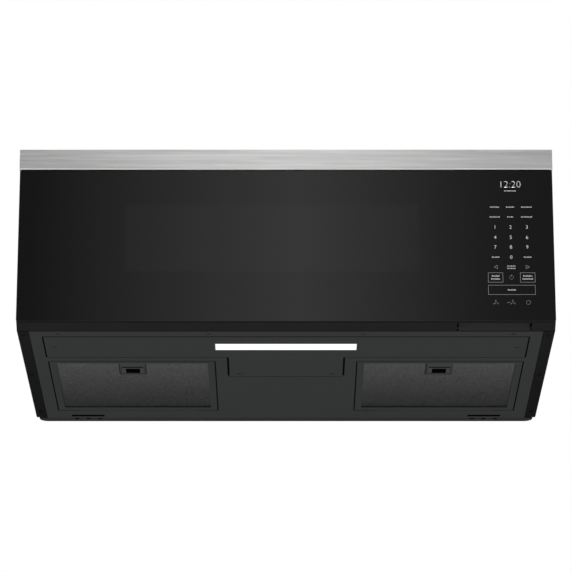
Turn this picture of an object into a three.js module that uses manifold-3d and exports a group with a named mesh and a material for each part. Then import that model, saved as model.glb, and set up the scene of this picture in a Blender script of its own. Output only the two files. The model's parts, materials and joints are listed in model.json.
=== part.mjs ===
// Over-the-range microwave with a full-width glass door, a vent blower and two grease filters.
// Millimetres. +X right, +Y back to the wall, +Z up; origin under the middle of the box.
import * as THREE from 'three';
import { mergeVertices } from 'three/addons/utils/BufferGeometryUtils.js';
import Module from 'manifold-3d';

const wasm = await Module();
wasm.setup();

// ---------------------------------------------------------------- driving dimensions
// cabinet
const cabinetWidth = 759;
const cabinetDepth = 467; // trim front to wall plane
const cabinetHeight = 260;
const sheet = 1.2; // steel sheet
const seat = 0.3; // gap between pieces that touch
const sideFlange = 16.3; // folded bottom edge of each side panel
const cabinetCornerRadius = 2;
const rearPanDepth = 20; // back panel behind the side panels
const rearPanInset = 4.5; // back panel inside the side panels
const rearCornerRadius = 13;
const boltHoleRadius = 3.5;
const boltHoleInset = 109.5; // from the cabinet's side
const boltHoleSetback = 161.9; // from the cabinet's front

// door
const trimHeight = 30.8;
const trimProud = 3; // trim in front of the glass
const trimSideInset = 1;
const trimLip = 9;
const trimBevel = 1.4;
const trimTopEdge = 1;
const doorThickness = 37; // glass front to the door's rear face
const doorGap = 1.6; // door to cabinet front
const doorTopGap = 1;
const glassThickness = 4;
const glassSideInset = 1.7;
const glassBottom = 2.6;
const frameSideInset = 0.3; // door frame's rear edge inside the cabinet's width
const frameBottomRear = 0.4;
const frameWall = 2.4;
const frameLedge = 8;
const pullLeftInset = 139.5; // finger pull under the door, from the right side
const pullRightInset = 34.5;
const pullDepth = 28;
const pullHeight = 15;
const pullFrontWall = 3;
const pullSlant = 8;
const hingeInsetX = 7.5; // hinge pin from the cabinet's side
const hingeInsetY = 20.1; // hinge pin in front of the cabinet
const hingePinRadius = 3;
const hingePinLength = 20;
const hingeBore = 0.35; // gap round the pin
const hingeArm = 2.6;
const hingeFoot = 12; // bracket foot past the arm
const hingeHeight = 14; // arm above the door's bottom and below its top
const windowLeftInset = 151.5;
const windowRightInset = 190.5;
const windowBottom = 76;
const windowTopDrop = 82; // below the cabinet's top
const windowPane = 1.2;
const chokeSetback = 4; // choke outside the oven opening
const chokeWidth = 16;
const chokeDepth = 14;
const chokeSheet = 1;
const hookInset = 93.5; // door latch
const hookThickness = 5;
const hookHeight = 8;
const hookTooth = 4;
const hookTravel = 4;
const hookReach = 22;
const lowerHookZ = 70;
const upperHookDrop = 100;
const latchClearance = 1.2;
const touchLeftInset = 97.5;
const touchRightInset = 21.5;
const touchBottom = 22;
const touchTopDrop = 42;
const boardThickness = 1.6;
const displayWidth = 44;
const displayHeight = 18;
const displayDrop = 53;

// oven cavity
const cavityLeftInset = 89.5;
const cavityRightInset = 129.5;
const cavityBottom = 46;
const cavityTopDrop = 58;
const cavityRearSetback = 99.4; // oven's back wall from the wall plane
const cavityWall = 1;
const cavityFlange = 8;
const trayMargin = 13; // tray to the oven's back wall
const trayThickness = 5;
const trayRim = 9;
const rollerRadius = 8;
const rollerWidth = 8;
const rollerTrack = 92;
const rollerAxleRadius = 2;
const rollerBore = 0.35;
const rollerGap = 0.6;
const ringWidth = 6;
const couplerRadius = 12;
const couplerLobe = 4;
const couplerHeight = 12;
const couplerClearance = 1;
const spindleRadius = 5;
const spindleHole = 8;
const trayMotorRadius = 25;
const trayMotorHeight = 16;

// filters in the base pan
const filterInner = 103;
const filterOuterInset = 36.5;
const filterFrontSetback = 134.4; // from the cabinet's front
const filterRearSetback = 55.7; // from the wall plane
const filterHeight = 9;
const filterRim = 10.3;
const filterCorner = 4;
const filterGap = 0.9;
const filterUpstand = 8;
const meshThickness = 5;
const catchWidth = 33; // finger latch
const catchSetback = 20.5; // from the filter's front
const catchDepth = 43;
const catchPlate = 2;
const catchHoleWidth = 21.4;
const catchHoleSetback = 15;
const catchHoleDepth = 19;
const catchTravel = 5.5;
const catchTongue = 14;
const catchClearance = 0.5;
const slotInnerInset = 104; // hook slots for the wall plate
const slotOuterInset = 54;
const slotSetback = 28.5; // from the wall plane
const slotWidth = 6;

// lamp cover
const coverSideInset = 35.5;
const coverFrontSetback = 23.6; // from the cabinet's front
const coverDepth = 91.5;
const tongueHalfWidth = 83;
const tongueDepth = 89.5;
const coverGap = 1.2;
const coverCorner = 3;
const coverLedge = 9;
const lensHalfWidth = 102;
const lensSetback = 29.3; // from the cover's front
const lensDepth = 30.3;
const lensFlange = 4;
const lensProud = 0.3;
const lampBoxHeight = 18;

// vent path over the oven
const deckGap = 0.3;
const grilleSideInset = 34.5;
const grilleSetback = 39.9; // from the cabinet's front
const grilleWall = 1.6;
const louvreCount = 5;
const louvreTilt = 38;
const louvreChord = 10;
const louvreThickness = 1.4;
const grilleRibCount = 3;
const charcoalSideInset = 79.5;
const charcoalGap = 6; // behind the grille
const charcoalDepth = 22;
const charcoalRibs = 7;
const portHalfWidth = 127;
const portRearSetback = 25.5; // from the wall plane
const portDepth = 83;
const glandInset = 49.5;
const glandSetback = 53.5; // from the wall plane
const glandRadius = 11;
const glandWall = 2.4;
const glandFlange = 5;

// vent blower
const wheelRadius = 34;
const wheelInnerRadius = 26;
const wheelWidth = 66;
const wheelSpacing = 86; // wheel middle from the blower's middle
const bladeCount = 14;
const bladeThickness = 1;
const hubRadius = 9;
const shaftRadius = 4;
const shaftGap = 0.4;
const blowerFromWall = 47;
const blowerZ = 76;
const scrollGapMin = 5;
const scrollGapMax = 11;
const scrollWall = 1.2;
const scrollSide = 4; // wheel to scroll side wall
const scrollInlet = 25;
const outletDepth = 52;
const blowerMotorRadius = 36;
const blowerMotorLength = 58;
const cradleBand = 14;
const cradleWall = 2;

// electronics bay
const guideHeight = 80; // waveguide
const guideToTransformer = 50; // behind the waveguide to the transformer's middle
const guideLength = 100;
const guideDepth = 34;
const guideDrop = 110;
const magnetronWidth = 76;
const magnetronHeight = 66;
const magnetronLength = 60;
const antennaRadius = 8;
const antennaLength = 22;
const finCount = 5;
const finThickness = 1;
const transformerInset = 73.5;
const transformerSetback = 143.5; // from the wall plane
const coreWidth = 84;
const coreHeight = 72;
const coreDepth = 46;
const coilDepth = 16;
const capacitorInset = 67.5;
const capacitorSetback = 45.5;
const capacitorWidth = 54;
const capacitorDepth = 32;
const capacitorHeight = 50;
const powerBoardSetback = 51.9; // from the cabinet's front
const powerBoardToTransformer = 60;
const powerBoardLeftInset = 117.5;
const powerBoardRightInset = 13.5;
const boardStandoff = 6;
const fanRadius = 38;
const fanGap = 2.5;
const fanInset = 65.5;
const fanSetback = 93.5; // from the wall plane
const fanDrop = 105;
const fanBlades = 5;
const fanHub = 12;
const fanDepth = 18;
const fanMotorLength = 26;
const lampSetback = 39.1; // from the oven's back wall
const lampDrop = 92;
const airSlotSetback = 61.9; // oven's air inlet, from the cabinet's front
const airSlotDrop = 120;
const switchSetback = 18;
const switchDrop = 10;

// ---------------------------------------------------------------- derived places
const halfWidth = cabinetWidth / 2;
const wallPlane = cabinetDepth / 2;
const trimFront = -cabinetDepth / 2;
const glassFront = trimFront + trimProud;
const doorRear = glassFront + doorThickness;
const cabinetFront = doorRear + doorGap;
const shellRear = wallPlane - rearPanDepth;
const insideHalf = halfWidth - sheet - seat;
const trimBottom = cabinetHeight - trimHeight;
const doorTop = trimBottom - doorTopGap;
const glassHalf = halfWidth - glassSideInset;
const glassBack = glassFront + glassThickness;
const frameRearHalf = halfWidth - frameSideInset;
const panelRear = doorRear - 0.6;
const panelFront = panelRear - sheet;
const hingeX = -halfWidth + hingeInsetX;
const hingeY = cabinetFront - hingeInsetY;
const plateRear = cabinetFront + sheet;
const flangeFront = plateRear + seat;
const bayFront = flangeFront + sheet + seat;
const boltHoleX = halfWidth - boltHoleInset;
const boltHoleY = cabinetFront + boltHoleSetback;
const pullLeft = halfWidth - pullLeftInset;
const pullRight = halfWidth - pullRightInset;
const windowLeft = -halfWidth + windowLeftInset;
const windowRight = halfWidth - windowRightInset;
const windowTop = cabinetHeight - windowTopDrop;
const hookX = halfWidth - hookInset;
const upperHookZ = cabinetHeight - upperHookDrop;
const touchLeft = halfWidth - touchLeftInset;
const touchRight = halfWidth - touchRightInset;
const touchTop = cabinetHeight - touchTopDrop;
const displayZ = cabinetHeight - displayDrop;
const cavityLeft = -halfWidth + cavityLeftInset;
const cavityRight = halfWidth - cavityRightInset;
const cavityTop = cabinetHeight - cavityTopDrop;
const cavityRearInside = wallPlane - cavityRearSetback;
const filterOuter = halfWidth - filterOuterInset;
const filterFront = cabinetFront + filterFrontSetback;
const filterRear = wallPlane - filterRearSetback;
const catchFront = filterFront + catchSetback;
const catchRear = catchFront + catchDepth;
const catchHoleFront = catchFront + catchHoleSetback;
const catchHoleRear = catchHoleFront + catchHoleDepth;
const slotInner = halfWidth - slotInnerInset;
const slotOuter = halfWidth - slotOuterInset;
const slotY = wallPlane - slotSetback;
const coverHalfWidth = halfWidth - coverSideInset;
const coverFront = cabinetFront + coverFrontSetback;
const coverRear = coverFront + coverDepth;
const tongueRear = coverRear + tongueDepth;
const lensFront = coverFront + lensSetback;
const lensRear = lensFront + lensDepth;
const grilleHalfWidth = halfWidth - grilleSideInset;
const grilleRear = cabinetFront + grilleSetback;
const charcoalHalfWidth = halfWidth - charcoalSideInset;
const charcoalFront = grilleRear + charcoalGap;
const portRear = wallPlane - portRearSetback;
const glandX = halfWidth - glandInset;
const glandY = wallPlane - glandSetback;
const transformerX = halfWidth - transformerInset;
const transformerY = wallPlane - transformerSetback;
const guideRear = transformerY - guideToTransformer;
const guideFront = guideRear - guideLength;
const guideZ = cabinetHeight - guideDrop;
const magnetronY = (guideFront + guideRear) / 2;
const capacitorX = halfWidth - capacitorInset;
const capacitorY = wallPlane - capacitorSetback;
const powerBoardFront = cabinetFront + powerBoardSetback;
const powerBoardRear = transformerY - powerBoardToTransformer;
const powerBoardLeft = halfWidth - powerBoardLeftInset;
const powerBoardRight = halfWidth - powerBoardRightInset;
const fanX = halfWidth - fanInset;
const fanY = wallPlane - fanSetback;
const fanZ = cabinetHeight - fanDrop;
const lampY = cavityRearInside - lampSetback;
const lampZ = cabinetHeight - lampDrop;
const deckBottom = cavityTop + cavityWall + deckGap;
const deckTop = deckBottom + sheet;
const bayFloorTop = cavityBottom - 0.8;
const bayLeft = cavityRight + cavityWall + seat;
const trayX = (cavityLeft + cavityRight) / 2;
const trayY = (cabinetFront + cavityRearInside) / 2;
const trayRadius = (cavityRearInside - cabinetFront) / 2 - trayMargin;
const blowerY = wallPlane - blowerFromWall;
const backPanelFront = wallPlane - sheet;
const flangeInner = halfWidth - sideFlange;

// ---------------------------------------------------------------- shape tools
function solid(geometry) {
  const bare = geometry.index ? geometry.toNonIndexed() : geometry.clone();
  for (const name of Object.keys(bare.attributes)) {
    if (name !== 'position') bare.deleteAttribute(name);
  }
  const merged = mergeVertices(bare, 1e-4);
  return new wasm.Manifold(new wasm.Mesh({
    numProp: 3,
    vertProperties: new Float32Array(merged.attributes.position.array),
    triVerts: new Uint32Array(merged.index.array),
  }));
}

function toGeometry(body) {
  const mesh = body.getMesh();
  const geometry = new THREE.BufferGeometry();
  geometry.setAttribute('position', new THREE.BufferAttribute(mesh.vertProperties, 3));
  geometry.setIndex(new THREE.BufferAttribute(mesh.triVerts, 1));
  geometry.computeVertexNormals();
  return geometry;
}

function box(x0, x1, y0, y1, z0, z1) {
  const geometry = new THREE.BoxGeometry(x1 - x0, y1 - y0, z1 - z0);
  geometry.translate((x0 + x1) / 2, (y0 + y1) / 2, (z0 + z1) / 2);
  return solid(geometry);
}

// A flat outline pushed along one axis. The outline is (y, z) for x, (x, z) for y and (x, y) for z.
function prism(outline, axis, from, to, curveSegments = 6) {
  const geometry = new THREE.ExtrudeGeometry(outline, {
    depth: to - from, bevelEnabled: false, steps: 1, curveSegments,
  });
  const frames = {
    x: new THREE.Matrix4().makeBasis(
      new THREE.Vector3(0, 1, 0), new THREE.Vector3(0, 0, 1), new THREE.Vector3(1, 0, 0)),
    y: new THREE.Matrix4().makeBasis(
      new THREE.Vector3(1, 0, 0), new THREE.Vector3(0, 0, 1), new THREE.Vector3(0, -1, 0)),
    z: new THREE.Matrix4(),
  };
  geometry.applyMatrix4(frames[axis]);
  const shift = { x: [from, 0, 0], y: [0, to, 0], z: [0, 0, from] }[axis];
  geometry.translate(...shift);
  return solid(geometry);
}

function polygon(points) {
  return new THREE.Shape(points.map(([u, v]) => new THREE.Vector2(u, v)));
}

function roundedRect(u0, u1, v0, v1, radius) {
  const shape = new THREE.Shape();
  shape.moveTo(u0 + radius, v0);
  shape.lineTo(u1 - radius, v0);
  shape.absarc(u1 - radius, v0 + radius, radius, -Math.PI / 2, 0, false);
  shape.lineTo(u1, v1 - radius);
  shape.absarc(u1 - radius, v1 - radius, radius, 0, Math.PI / 2, false);
  shape.lineTo(u0 + radius, v1);
  shape.absarc(u0 + radius, v1 - radius, radius, Math.PI / 2, Math.PI, false);
  shape.lineTo(u0, v0 + radius);
  shape.absarc(u0 + radius, v0 + radius, radius, Math.PI, 1.5 * Math.PI, false);
  return shape;
}

// A round bar along an axis; (u, v) is its centre in the two other axes, in x, y, z order.
function rod(axis, u, v, radius, from, to, segments = 24) {
  const shape = new THREE.Shape();
  for (let i = 0; i < segments; i += 1) {
    const angle = 2 * Math.PI * (i + 0.5) / segments;
    const point = [u + radius * Math.cos(angle), v + radius * Math.sin(angle)];
    if (i === 0) shape.moveTo(...point);
    else shape.lineTo(...point);
  }
  return prism(shape, axis, from, to);
}

function turned(profile, segments) {
  const points = profile.map(([radius, z]) => new THREE.Vector2(radius, z));
  const geometry = new THREE.LatheGeometry(points, segments);
  geometry.rotateX(Math.PI / 2);
  return solid(geometry);
}

// A box whose front and back rectangles differ in size, for drafted mouldings.
function drafted(front, back) {
  const geometry = new THREE.BoxGeometry(1, 1, 1);
  const place = geometry.attributes.position;
  for (let i = 0; i < place.count; i += 1) {
    const end = place.getY(i) < 0 ? front : back;
    place.setXYZ(
      i,
      place.getX(i) < 0 ? -end.half : end.half,
      end.y,
      place.getZ(i) < 0 ? end.bottom : end.top,
    );
  }
  return solid(geometry);
}

function joined(bodies) {
  return bodies.reduce((whole, body) => whole.add(body));
}

function cut(body, tools) {
  return tools.reduce((rest, tool) => rest.subtract(tool), body);
}

function moved(body, x, y, z) {
  return body.translate([x, y, z]);
}

// ---------------------------------------------------------------- materials
function finish(colour, roughness, metalness) {
  return { colour, roughness, metalness };
}

const finishes = {
  blackPaint: finish(0x1c1c1c, 0.45, 0.2),
  charcoalPaint: finish(0x363838, 0.5, 0.2),
  stainless: finish(0xc3c3c1, 0.32, 1),
  galvanised: finish(0x9a9ea0, 0.45, 0.9),
  enamel: finish(0xb5b6b4, 0.35, 0.1),
  blackGlass: finish(0x17171a, 0.06, 0),
  clearGlass: finish(0xdfe8e6, 0.05, 0),
  blackPlastic: finish(0x202020, 0.5, 0),
  whitePlastic: finish(0xe6e6e0, 0.5, 0),
  lens: finish(0xffffff, 0.3, 0),
  filterMesh: finish(0x77787a, 0.4, 0.9),
  aluminium: finish(0xb8bcc0, 0.4, 0.9),
  board: finish(0x1f5a34, 0.6, 0),
  copper: finish(0xa8642c, 0.4, 0.8),
  darkSteel: finish(0x4a4c4f, 0.5, 0.8),
  mica: finish(0x9c9484, 0.6, 0),
  carbon: finish(0x26282a, 0.8, 0),
};

function piece(parent, name, body, look) {
  const { colour, roughness, metalness } = finishes[look];
  const material = new THREE.MeshStandardMaterial({ color: colour, roughness, metalness });
  const mesh = new THREE.Mesh(toGeometry(body), material);
  mesh.name = name;
  parent.add(mesh);
  return mesh;
}

function groupAt(parent, x, y, z) {
  const group = new THREE.Group();
  group.position.set(x, y, z);
  parent.add(group);
  return group;
}

// ---------------------------------------------------------------- cabinet
function outerCabinet() {
  const inner = halfWidth - sheet;
  const outer = roundedRect(-halfWidth, halfWidth, 0, cabinetHeight, cabinetCornerRadius);
  const shell = prism(outer, 'y', cabinetFront, shellRear, 3);
  const past = 5;
  const room = box(-inner, inner, cabinetFront - past, shellRear + past, sheet, cabinetHeight - sheet);
  const mouth = box(-flangeInner, flangeInner, cabinetFront - past, shellRear + past, -past, sheet + past);
  const grille = box(-grilleHalfWidth - seat, grilleHalfWidth + seat, cabinetFront - past,
    grilleRear + seat, cabinetHeight - sheet - past, cabinetHeight + past);
  const port = box(-portHalfWidth, portHalfWidth, portRear - portDepth, portRear,
    cabinetHeight - sheet - past, cabinetHeight + past);
  const top = [cabinetHeight - sheet - past, cabinetHeight + past];
  const gland = rod('z', glandX, glandY, glandRadius + seat, ...top, 20);
  const bolts = [-boltHoleX, boltHoleX].map((x) => rod('z', x, boltHoleY, boltHoleRadius, ...top, 12));
  return cut(shell, [room, mouth, grille, port, gland, ...bolts]);
}

function backPanel() {
  const half = halfWidth - rearPanInset;
  const lapHalf = insideHalf;
  const lapFront = shellRear - rearPanDepth;
  const bottomFlange = shellRear + 4;
  const top = cabinetHeight - sheet - seat;
  const plan = roundedRect(-half, half, lapFront, wallPlane, rearCornerRadius);
  const planInside = roundedRect(-half + sheet, half - sheet, lapFront - sheet, backPanelFront,
    rearCornerRadius - sheet);
  const tray = cut(prism(plan, 'z', 0, top, 4), [
    prism(planInside, 'z', sheet, top - sheet, 4),
    box(-halfWidth, halfWidth, lapFront - 1, bottomFlange, -1, sheet + seat),
    box(-halfWidth, halfWidth, lapFront - 1, shellRear - 1, -1, cabinetHeight),
  ]);
  const lap = [-1, 1].map((side) => {
    const edges = [side * lapHalf, side * (half - sheet)].sort((a, b) => a - b);
    return box(edges[0], edges[1], shellRear - 1.5, shellRear - seat, sheet + seat, top);
  });
  const laps = [-1, 1].map((side) => {
    const edges = [side * lapHalf, side * (lapHalf - sheet)].sort((a, b) => a - b);
    return box(edges[0], edges[1], lapFront, shellRear - seat, sheet + seat, top);
  });
  const notches = [-1, 1].flatMap((side) => [0.15, 0.5, 0.85].map((share) => {
    const x = side * (slotInner + share * (slotOuter - slotInner));
    return box(x - 3, x + 3, bottomFlange - 1, bottomFlange + 6, -1, sheet + 1);
  }));
  return cut(joined([tray, ...lap, ...laps]), notches);
}

function filterOpening(side, grow, from, to) {
  const edges = [side * (filterInner - grow), side * (filterOuter + grow)].sort((a, b) => a - b);
  return prism(roundedRect(edges[0], edges[1], filterFront - grow, filterRear + grow,
    filterCorner + grow), 'z', from, to, 2);
}

function coverOutline(grow) {
  const w = coverHalfWidth + grow;
  const t = tongueHalfWidth + grow;
  const f = coverFront - grow;
  const r = coverRear + grow;
  const e = tongueRear + grow;
  const c = Math.max(coverCorner + grow, 0.1);
  return polygon([[-w + c, f], [w - c, f], [w, f + c], [w, r], [t, r], [t, e - c], [t - c, e],
    [-t + c, e], [-t, e - c], [-t, r], [-w, r], [-w, f + c]]);
}

function basePan() {
  const half = flangeInner - seat * 2;
  const rear = shellRear + 3.4;
  const plate = box(-half, half, cabinetFront, rear, 0, sheet);
  const raised = sheet * 2 + seat;
  const rim = cut(prism(coverOutline(coverGap + sheet), 'z', 0, raised), [
    prism(coverOutline(coverGap), 'z', -1, sheet + seat),
    prism(coverOutline(-coverLedge), 'z', -1, raised + 1),
  ]);
  const lip = box(-half + 14, half - 14, flangeFront, flangeFront + sheet, 0, 16);
  const upstands = [-1, 1].map((side) => cut(filterOpening(side, filterGap + sheet, 0, filterUpstand), [
    box(-halfWidth, halfWidth, filterRear - 12, filterRear + 12, sheet, filterUpstand + 1),
  ]));
  const openings = [-1, 1].map((side) => filterOpening(side, filterGap, -1, filterUpstand + 1));
  const slots = [-1, 1].map((side) => {
    const edges = [side * slotInner, side * slotOuter].sort((a, b) => a - b);
    return box(edges[0], edges[1], slotY - slotWidth / 2, slotY + slotWidth / 2, -1, sheet + 1);
  });
  const ribs = [-1, 1].map((side) => {
    const edges = [side * (slotInner - 6), side * (slotOuter + 6)].sort((a, b) => a - b);
    const y = slotY - slotWidth / 2 - 2;
    return box(edges[0], edges[1], y - sheet, y, 0, 9);
  });
  const coverHole = prism(coverOutline(coverGap), 'z', -1, sheet + seat);
  const sheetBody = cut(joined([plate, ...upstands, lip, ...ribs]), [coverHole, ...openings, ...slots]);
  return sheetBody.add(rim);
}

function lampCover() {
  const plate = prism(coverOutline(0), 'z', 0, sheet);
  const window = box(-lensHalfWidth - seat, lensHalfWidth + seat, lensFront - seat, lensRear + seat,
    -1, sheet + 1);
  return plate.subtract(window);
}

function lampLens() {
  const body = box(-lensHalfWidth, lensHalfWidth, lensFront, lensRear, -lensProud + 0.3, sheet + seat * 2);
  const flange = box(-lensHalfWidth - lensFlange, lensHalfWidth + lensFlange, lensFront - lensFlange,
    lensRear + lensFlange, sheet + seat, sheet + seat + 1.5);
  return body.add(flange);
}

const lampFloor = sheet + seat + 1.5 + seat;
function lampHousing() {
  const x = lensHalfWidth + lensFlange;
  const shell = box(-x, x, lensFront - lensFlange, lensRear + lensFlange, lampFloor,
    lampFloor + lampBoxHeight);
  const room = box(-x + sheet, x - sheet, lensFront - lensFlange + sheet, lensRear + lensFlange - sheet,
    lampFloor - 1, lampFloor + lampBoxHeight - sheet);
  return shell.subtract(room);
}

function lampBoard() {
  const x = lensHalfWidth + lensFlange - sheet - 2;
  const top = lampFloor + lampBoxHeight - sheet - seat;
  const middle = (lensFront + lensRear) / 2;
  const board = box(-x, x, middle - 8, middle + 8, top - boardThickness, top);
  const count = 8;
  const diodes = Array.from({ length: count }, (_, i) => {
    const at = -x + (i + 0.5) * 2 * x / count;
    return box(at - 2, at + 2, middle - 2, middle + 2, top - boardThickness - 1.2,
      top - boardThickness + 0.1);
  });
  return joined([board, ...diodes]);
}

function frontPlate() {
  const plate = box(-insideHalf, insideHalf, cabinetFront, plateRear, sheet + seat, trimBottom - seat);
  const past = 1;
  const oven = box(cavityLeft, cavityRight, cabinetFront - past, plateRear + past, cavityBottom, cavityTop);
  const slots = [lowerHookZ, upperHookZ].map((z) => box(
    hookX - hookThickness / 2 - latchClearance, hookX + hookThickness / 2 + latchClearance,
    cabinetFront - past, plateRear + past,
    z - hookHeight / 2 - hookTooth - latchClearance, z + hookHeight / 2 + hookTravel + latchClearance));
  const arms = [hingeArmZ('bottom'), hingeArmZ('top')].map((z) => box(
    -halfWidth, hingeX + hingeInsetX + seat * 2, cabinetFront - past, plateRear + past,
    z - seat, z + hingeArm + seat));
  return cut(plate, [oven, ...slots, ...arms]);
}

function plenumDeck() {
  const plate = box(-insideHalf, insideHalf, bayFront, shellRear - rearPanDepth - seat, deckBottom, deckTop);
  const left = hingeX + hingeInsetX + hingeFoot;
  const step = deckBottom + cavityFlange;
  const lip = box(left, insideHalf, flangeFront, flangeFront + sheet, step, trimBottom - seat);
  const web = box(left, insideHalf, flangeFront, bayFront + sheet, step, step + sheet);
  const riser = box(left, insideHalf, bayFront, bayFront + sheet, deckBottom, step + sheet);
  const outlets = [-1, 1].map((side) => {
    const plan = outletPlan(side);
    return box(plan.left - seat, plan.right + seat, plan.front - seat, plan.rear + seat, deckBottom - 1,
      deckTop + 1);
  });
  return cut(joined([plate, lip, web, riser]), outlets);
}

function bayFloor() {
  const plate = box(bayLeft, insideHalf, bayFront, shellRear - rearPanDepth - seat,
    bayFloorTop - sheet, bayFloorTop);
  const lip = box(bayLeft + cavityFlange, insideHalf, bayFront, bayFront + sheet,
    bayFloorTop - sheet, bayFloorTop + 5);
  return plate.add(lip);
}

// ---------------------------------------------------------------- trim, grille, charcoal filter
function ventTrim() {
  const half = halfWidth - trimSideInset;
  const t = sheet;
  const b = trimBottom;
  const f = trimFront;
  const top = cabinetHeight;
  const rear = cabinetFront - seat;
  const section = polygon([[f, b + trimBevel], [f + trimBevel, b], [rear, b], [rear, top],
    [f + trimTopEdge, top], [f, top - trimTopEdge]]);
  const inside = half - t;
  return cut(prism(section, 'x', -half, half), [
    box(-inside, inside, f + t, rear + 1, b + t, top - t),
    box(-inside, inside, f + trimLip, rear + 1, b - 1, top + 1),
  ]);
}

function ventGrille() {
  const front = trimFront + sheet + seat;
  const floor = trimBottom + sheet + seat;
  const top = cabinetHeight - sheet - seat;
  const w = grilleWall;
  const x = grilleHalfWidth;
  const wing = halfWidth - trimSideInset - sheet - seat;
  const barHeight = 10;
  const chamber = box(-wing, wing, front, cabinetFront - seat, floor, top);
  const bridge = box(-x, x, cabinetFront - 1, grilleRear, top - barHeight, top);
  const tray = cut(chamber.add(bridge), [
    box(-wing + w, wing - w, front + w, cabinetFront, floor + w, top - w),
    box(-x + w, x - w, front + w, grilleRear - w, floor + w, top + 1),
  ]);
  const rows = front + trimLip;
  const pitch = (grilleRear - rows - w) / louvreCount;
  const louvres = Array.from({ length: louvreCount }, (_, i) => {
    const slat = new THREE.BoxGeometry(2 * x - w, louvreChord, louvreThickness);
    slat.rotateX(THREE.MathUtils.degToRad(louvreTilt));
    slat.translate(0, rows + (i + 0.5) * pitch, top - barHeight * 0.4);
    return solid(slat);
  });
  const ribs = Array.from({ length: grilleRibCount }, (_, i) => {
    const at = -x + (i + 1) * 2 * x / (grilleRibCount + 1);
    return box(at - w / 2, at + w / 2, front + w / 2, grilleRear - w / 2, top - barHeight + 2, top - 1);
  });
  return joined([tray, ...louvres, ...ribs]);
}

function charcoalFilter() {
  const bottom = deckTop + seat;
  const top = cabinetHeight - sheet - seat;
  const x = charcoalHalfWidth;
  const rear = charcoalFront + charcoalDepth;
  const block = box(-x, x, charcoalFront, rear, bottom, top);
  const rim = 5;
  const pitch = (2 * x - rim) / charcoalRibs;
  const recesses = Array.from({ length: charcoalRibs }, (_, i) => {
    const left = -x + rim + i * pitch;
    return [[charcoalFront - 1, charcoalFront + 5], [rear - 5, rear + 1]].map(([y0, y1]) => box(
      left, left + pitch - rim, y0, y1, bottom + rim, top - rim));
  }).flat();
  return cut(block, recesses);
}

// ---------------------------------------------------------------- oven cavity
function cavityLiner() {
  const w = cavityWall;
  const f = cavityFlange;
  const front = flangeFront;
  const rear = cavityRearInside;
  const outer = prism(roundedRect(cavityLeft - w, cavityRight + w, cavityBottom - w, cavityTop + w, 3),
    'y', front, rear + w, 2);
  const flange = box(cavityLeft - f, cavityRight + f, front, front + w, cavityBottom - f, cavityTop + f);
  const room = box(cavityLeft, cavityRight, front - 1, rear, cavityBottom, cavityTop);
  const spindle = rod('z', trayX, trayY, spindleHole, cavityBottom - w - 1, cavityBottom + 1, 16);
  const port = box(cavityRight - 1, cavityRight + w + 1, guideFront + 12, guideRear - 12,
    guideZ - guideHeight / 2 + 14, guideZ + guideHeight / 2 - 14);
  const slots = (y, z, rows) => Array.from({ length: rows }, (_, i) => box(
    cavityRight - 1, cavityRight + w + 1, y - 14, y + 14, z + i * 7, z + i * 7 + 3));
  return cut(outer.add(flange), [room, spindle, port, ...slots(lampY, lampZ - 9, 3),
    ...slots(cabinetFront + airSlotSetback, cabinetHeight - airSlotDrop, 5)]);
}

function waveguideCover() {
  const x = cavityRight - seat;
  return prism(roundedRect(guideFront + 4, guideRear - 4, guideZ - guideHeight / 2 + 6,
    guideZ + guideHeight / 2 - 6, 5), 'x', x - 0.8, x, 3);
}

function waveguide() {
  const x0 = bayLeft;
  const x1 = x0 + guideDepth;
  const t = sheet;
  const low = guideZ - guideHeight / 2;
  const high = guideZ + guideHeight / 2;
  const duct = box(x0, x1, guideFront, guideRear, low, high);
  const room = box(x0 - 1, x1 - t, guideFront + t, guideRear - t, low + t, high - t);
  const hole = rod('x', magnetronY, guideZ, antennaRadius + 3, x1 - t - 1, x1 + 1, 20);
  return cut(duct, [room, hole]);
}

function magnetron() {
  const x0 = bayLeft + guideDepth + seat;
  const y = magnetronY;
  const w = magnetronWidth / 2;
  const h = magnetronHeight / 2;
  const x1 = x0 + magnetronLength;
  const flange = box(x0, x0 + 2, y - w, y + w, guideZ - h, guideZ + h);
  const plates = [-h, h - 2].map((z) => box(x0, x1, y - w + 8, y + w - 8, guideZ + z, guideZ + z + 2));
  const end = box(x1 - 2, x1, y - w + 8, y + w - 8, guideZ - h, guideZ + h);
  const anode = rod('x', y, guideZ, 17, x0, x1, 12);
  const pitch = (magnetronLength - 12) / finCount;
  const fins = Array.from({ length: finCount }, (_, i) => {
    const x = x0 + 7 + i * pitch;
    return box(x, x + finThickness, y - w + 10, y + w - 10, guideZ - h + 1, guideZ + h - 1);
  });
  const antenna = rod('x', y, guideZ, antennaRadius, x0 - antennaLength, x0 + 1, 16);
  const filterBox = box(x1 - 1, x1 + 18, y - 24, y + 24, guideZ - 22, guideZ + 22);
  return joined([flange, ...plates, end, anode, ...fins, antenna, filterBox]);
}

function cavityLamp() {
  const x0 = bayLeft;
  const bracket = box(x0, x0 + 1.5, lampY - 22, lampY + 22, lampZ - 16, lampZ + 16);
  const holder = rod('x', lampY, lampZ, 12, x0 + 1, x0 + 20, 16);
  const hollow = rod('x', lampY, lampZ, 9, x0 - 1, x0 + 14, 16);
  const bulb = rod('x', lampY, lampZ, 6, x0 + 3, x0 + 15, 12);
  const plug = box(x0 + 19, x0 + 28, lampY - 7, lampY + 7, lampZ - 5, lampZ + 5);
  return cut(joined([bracket, holder, plug]), [hollow]).add(bulb);
}

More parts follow.
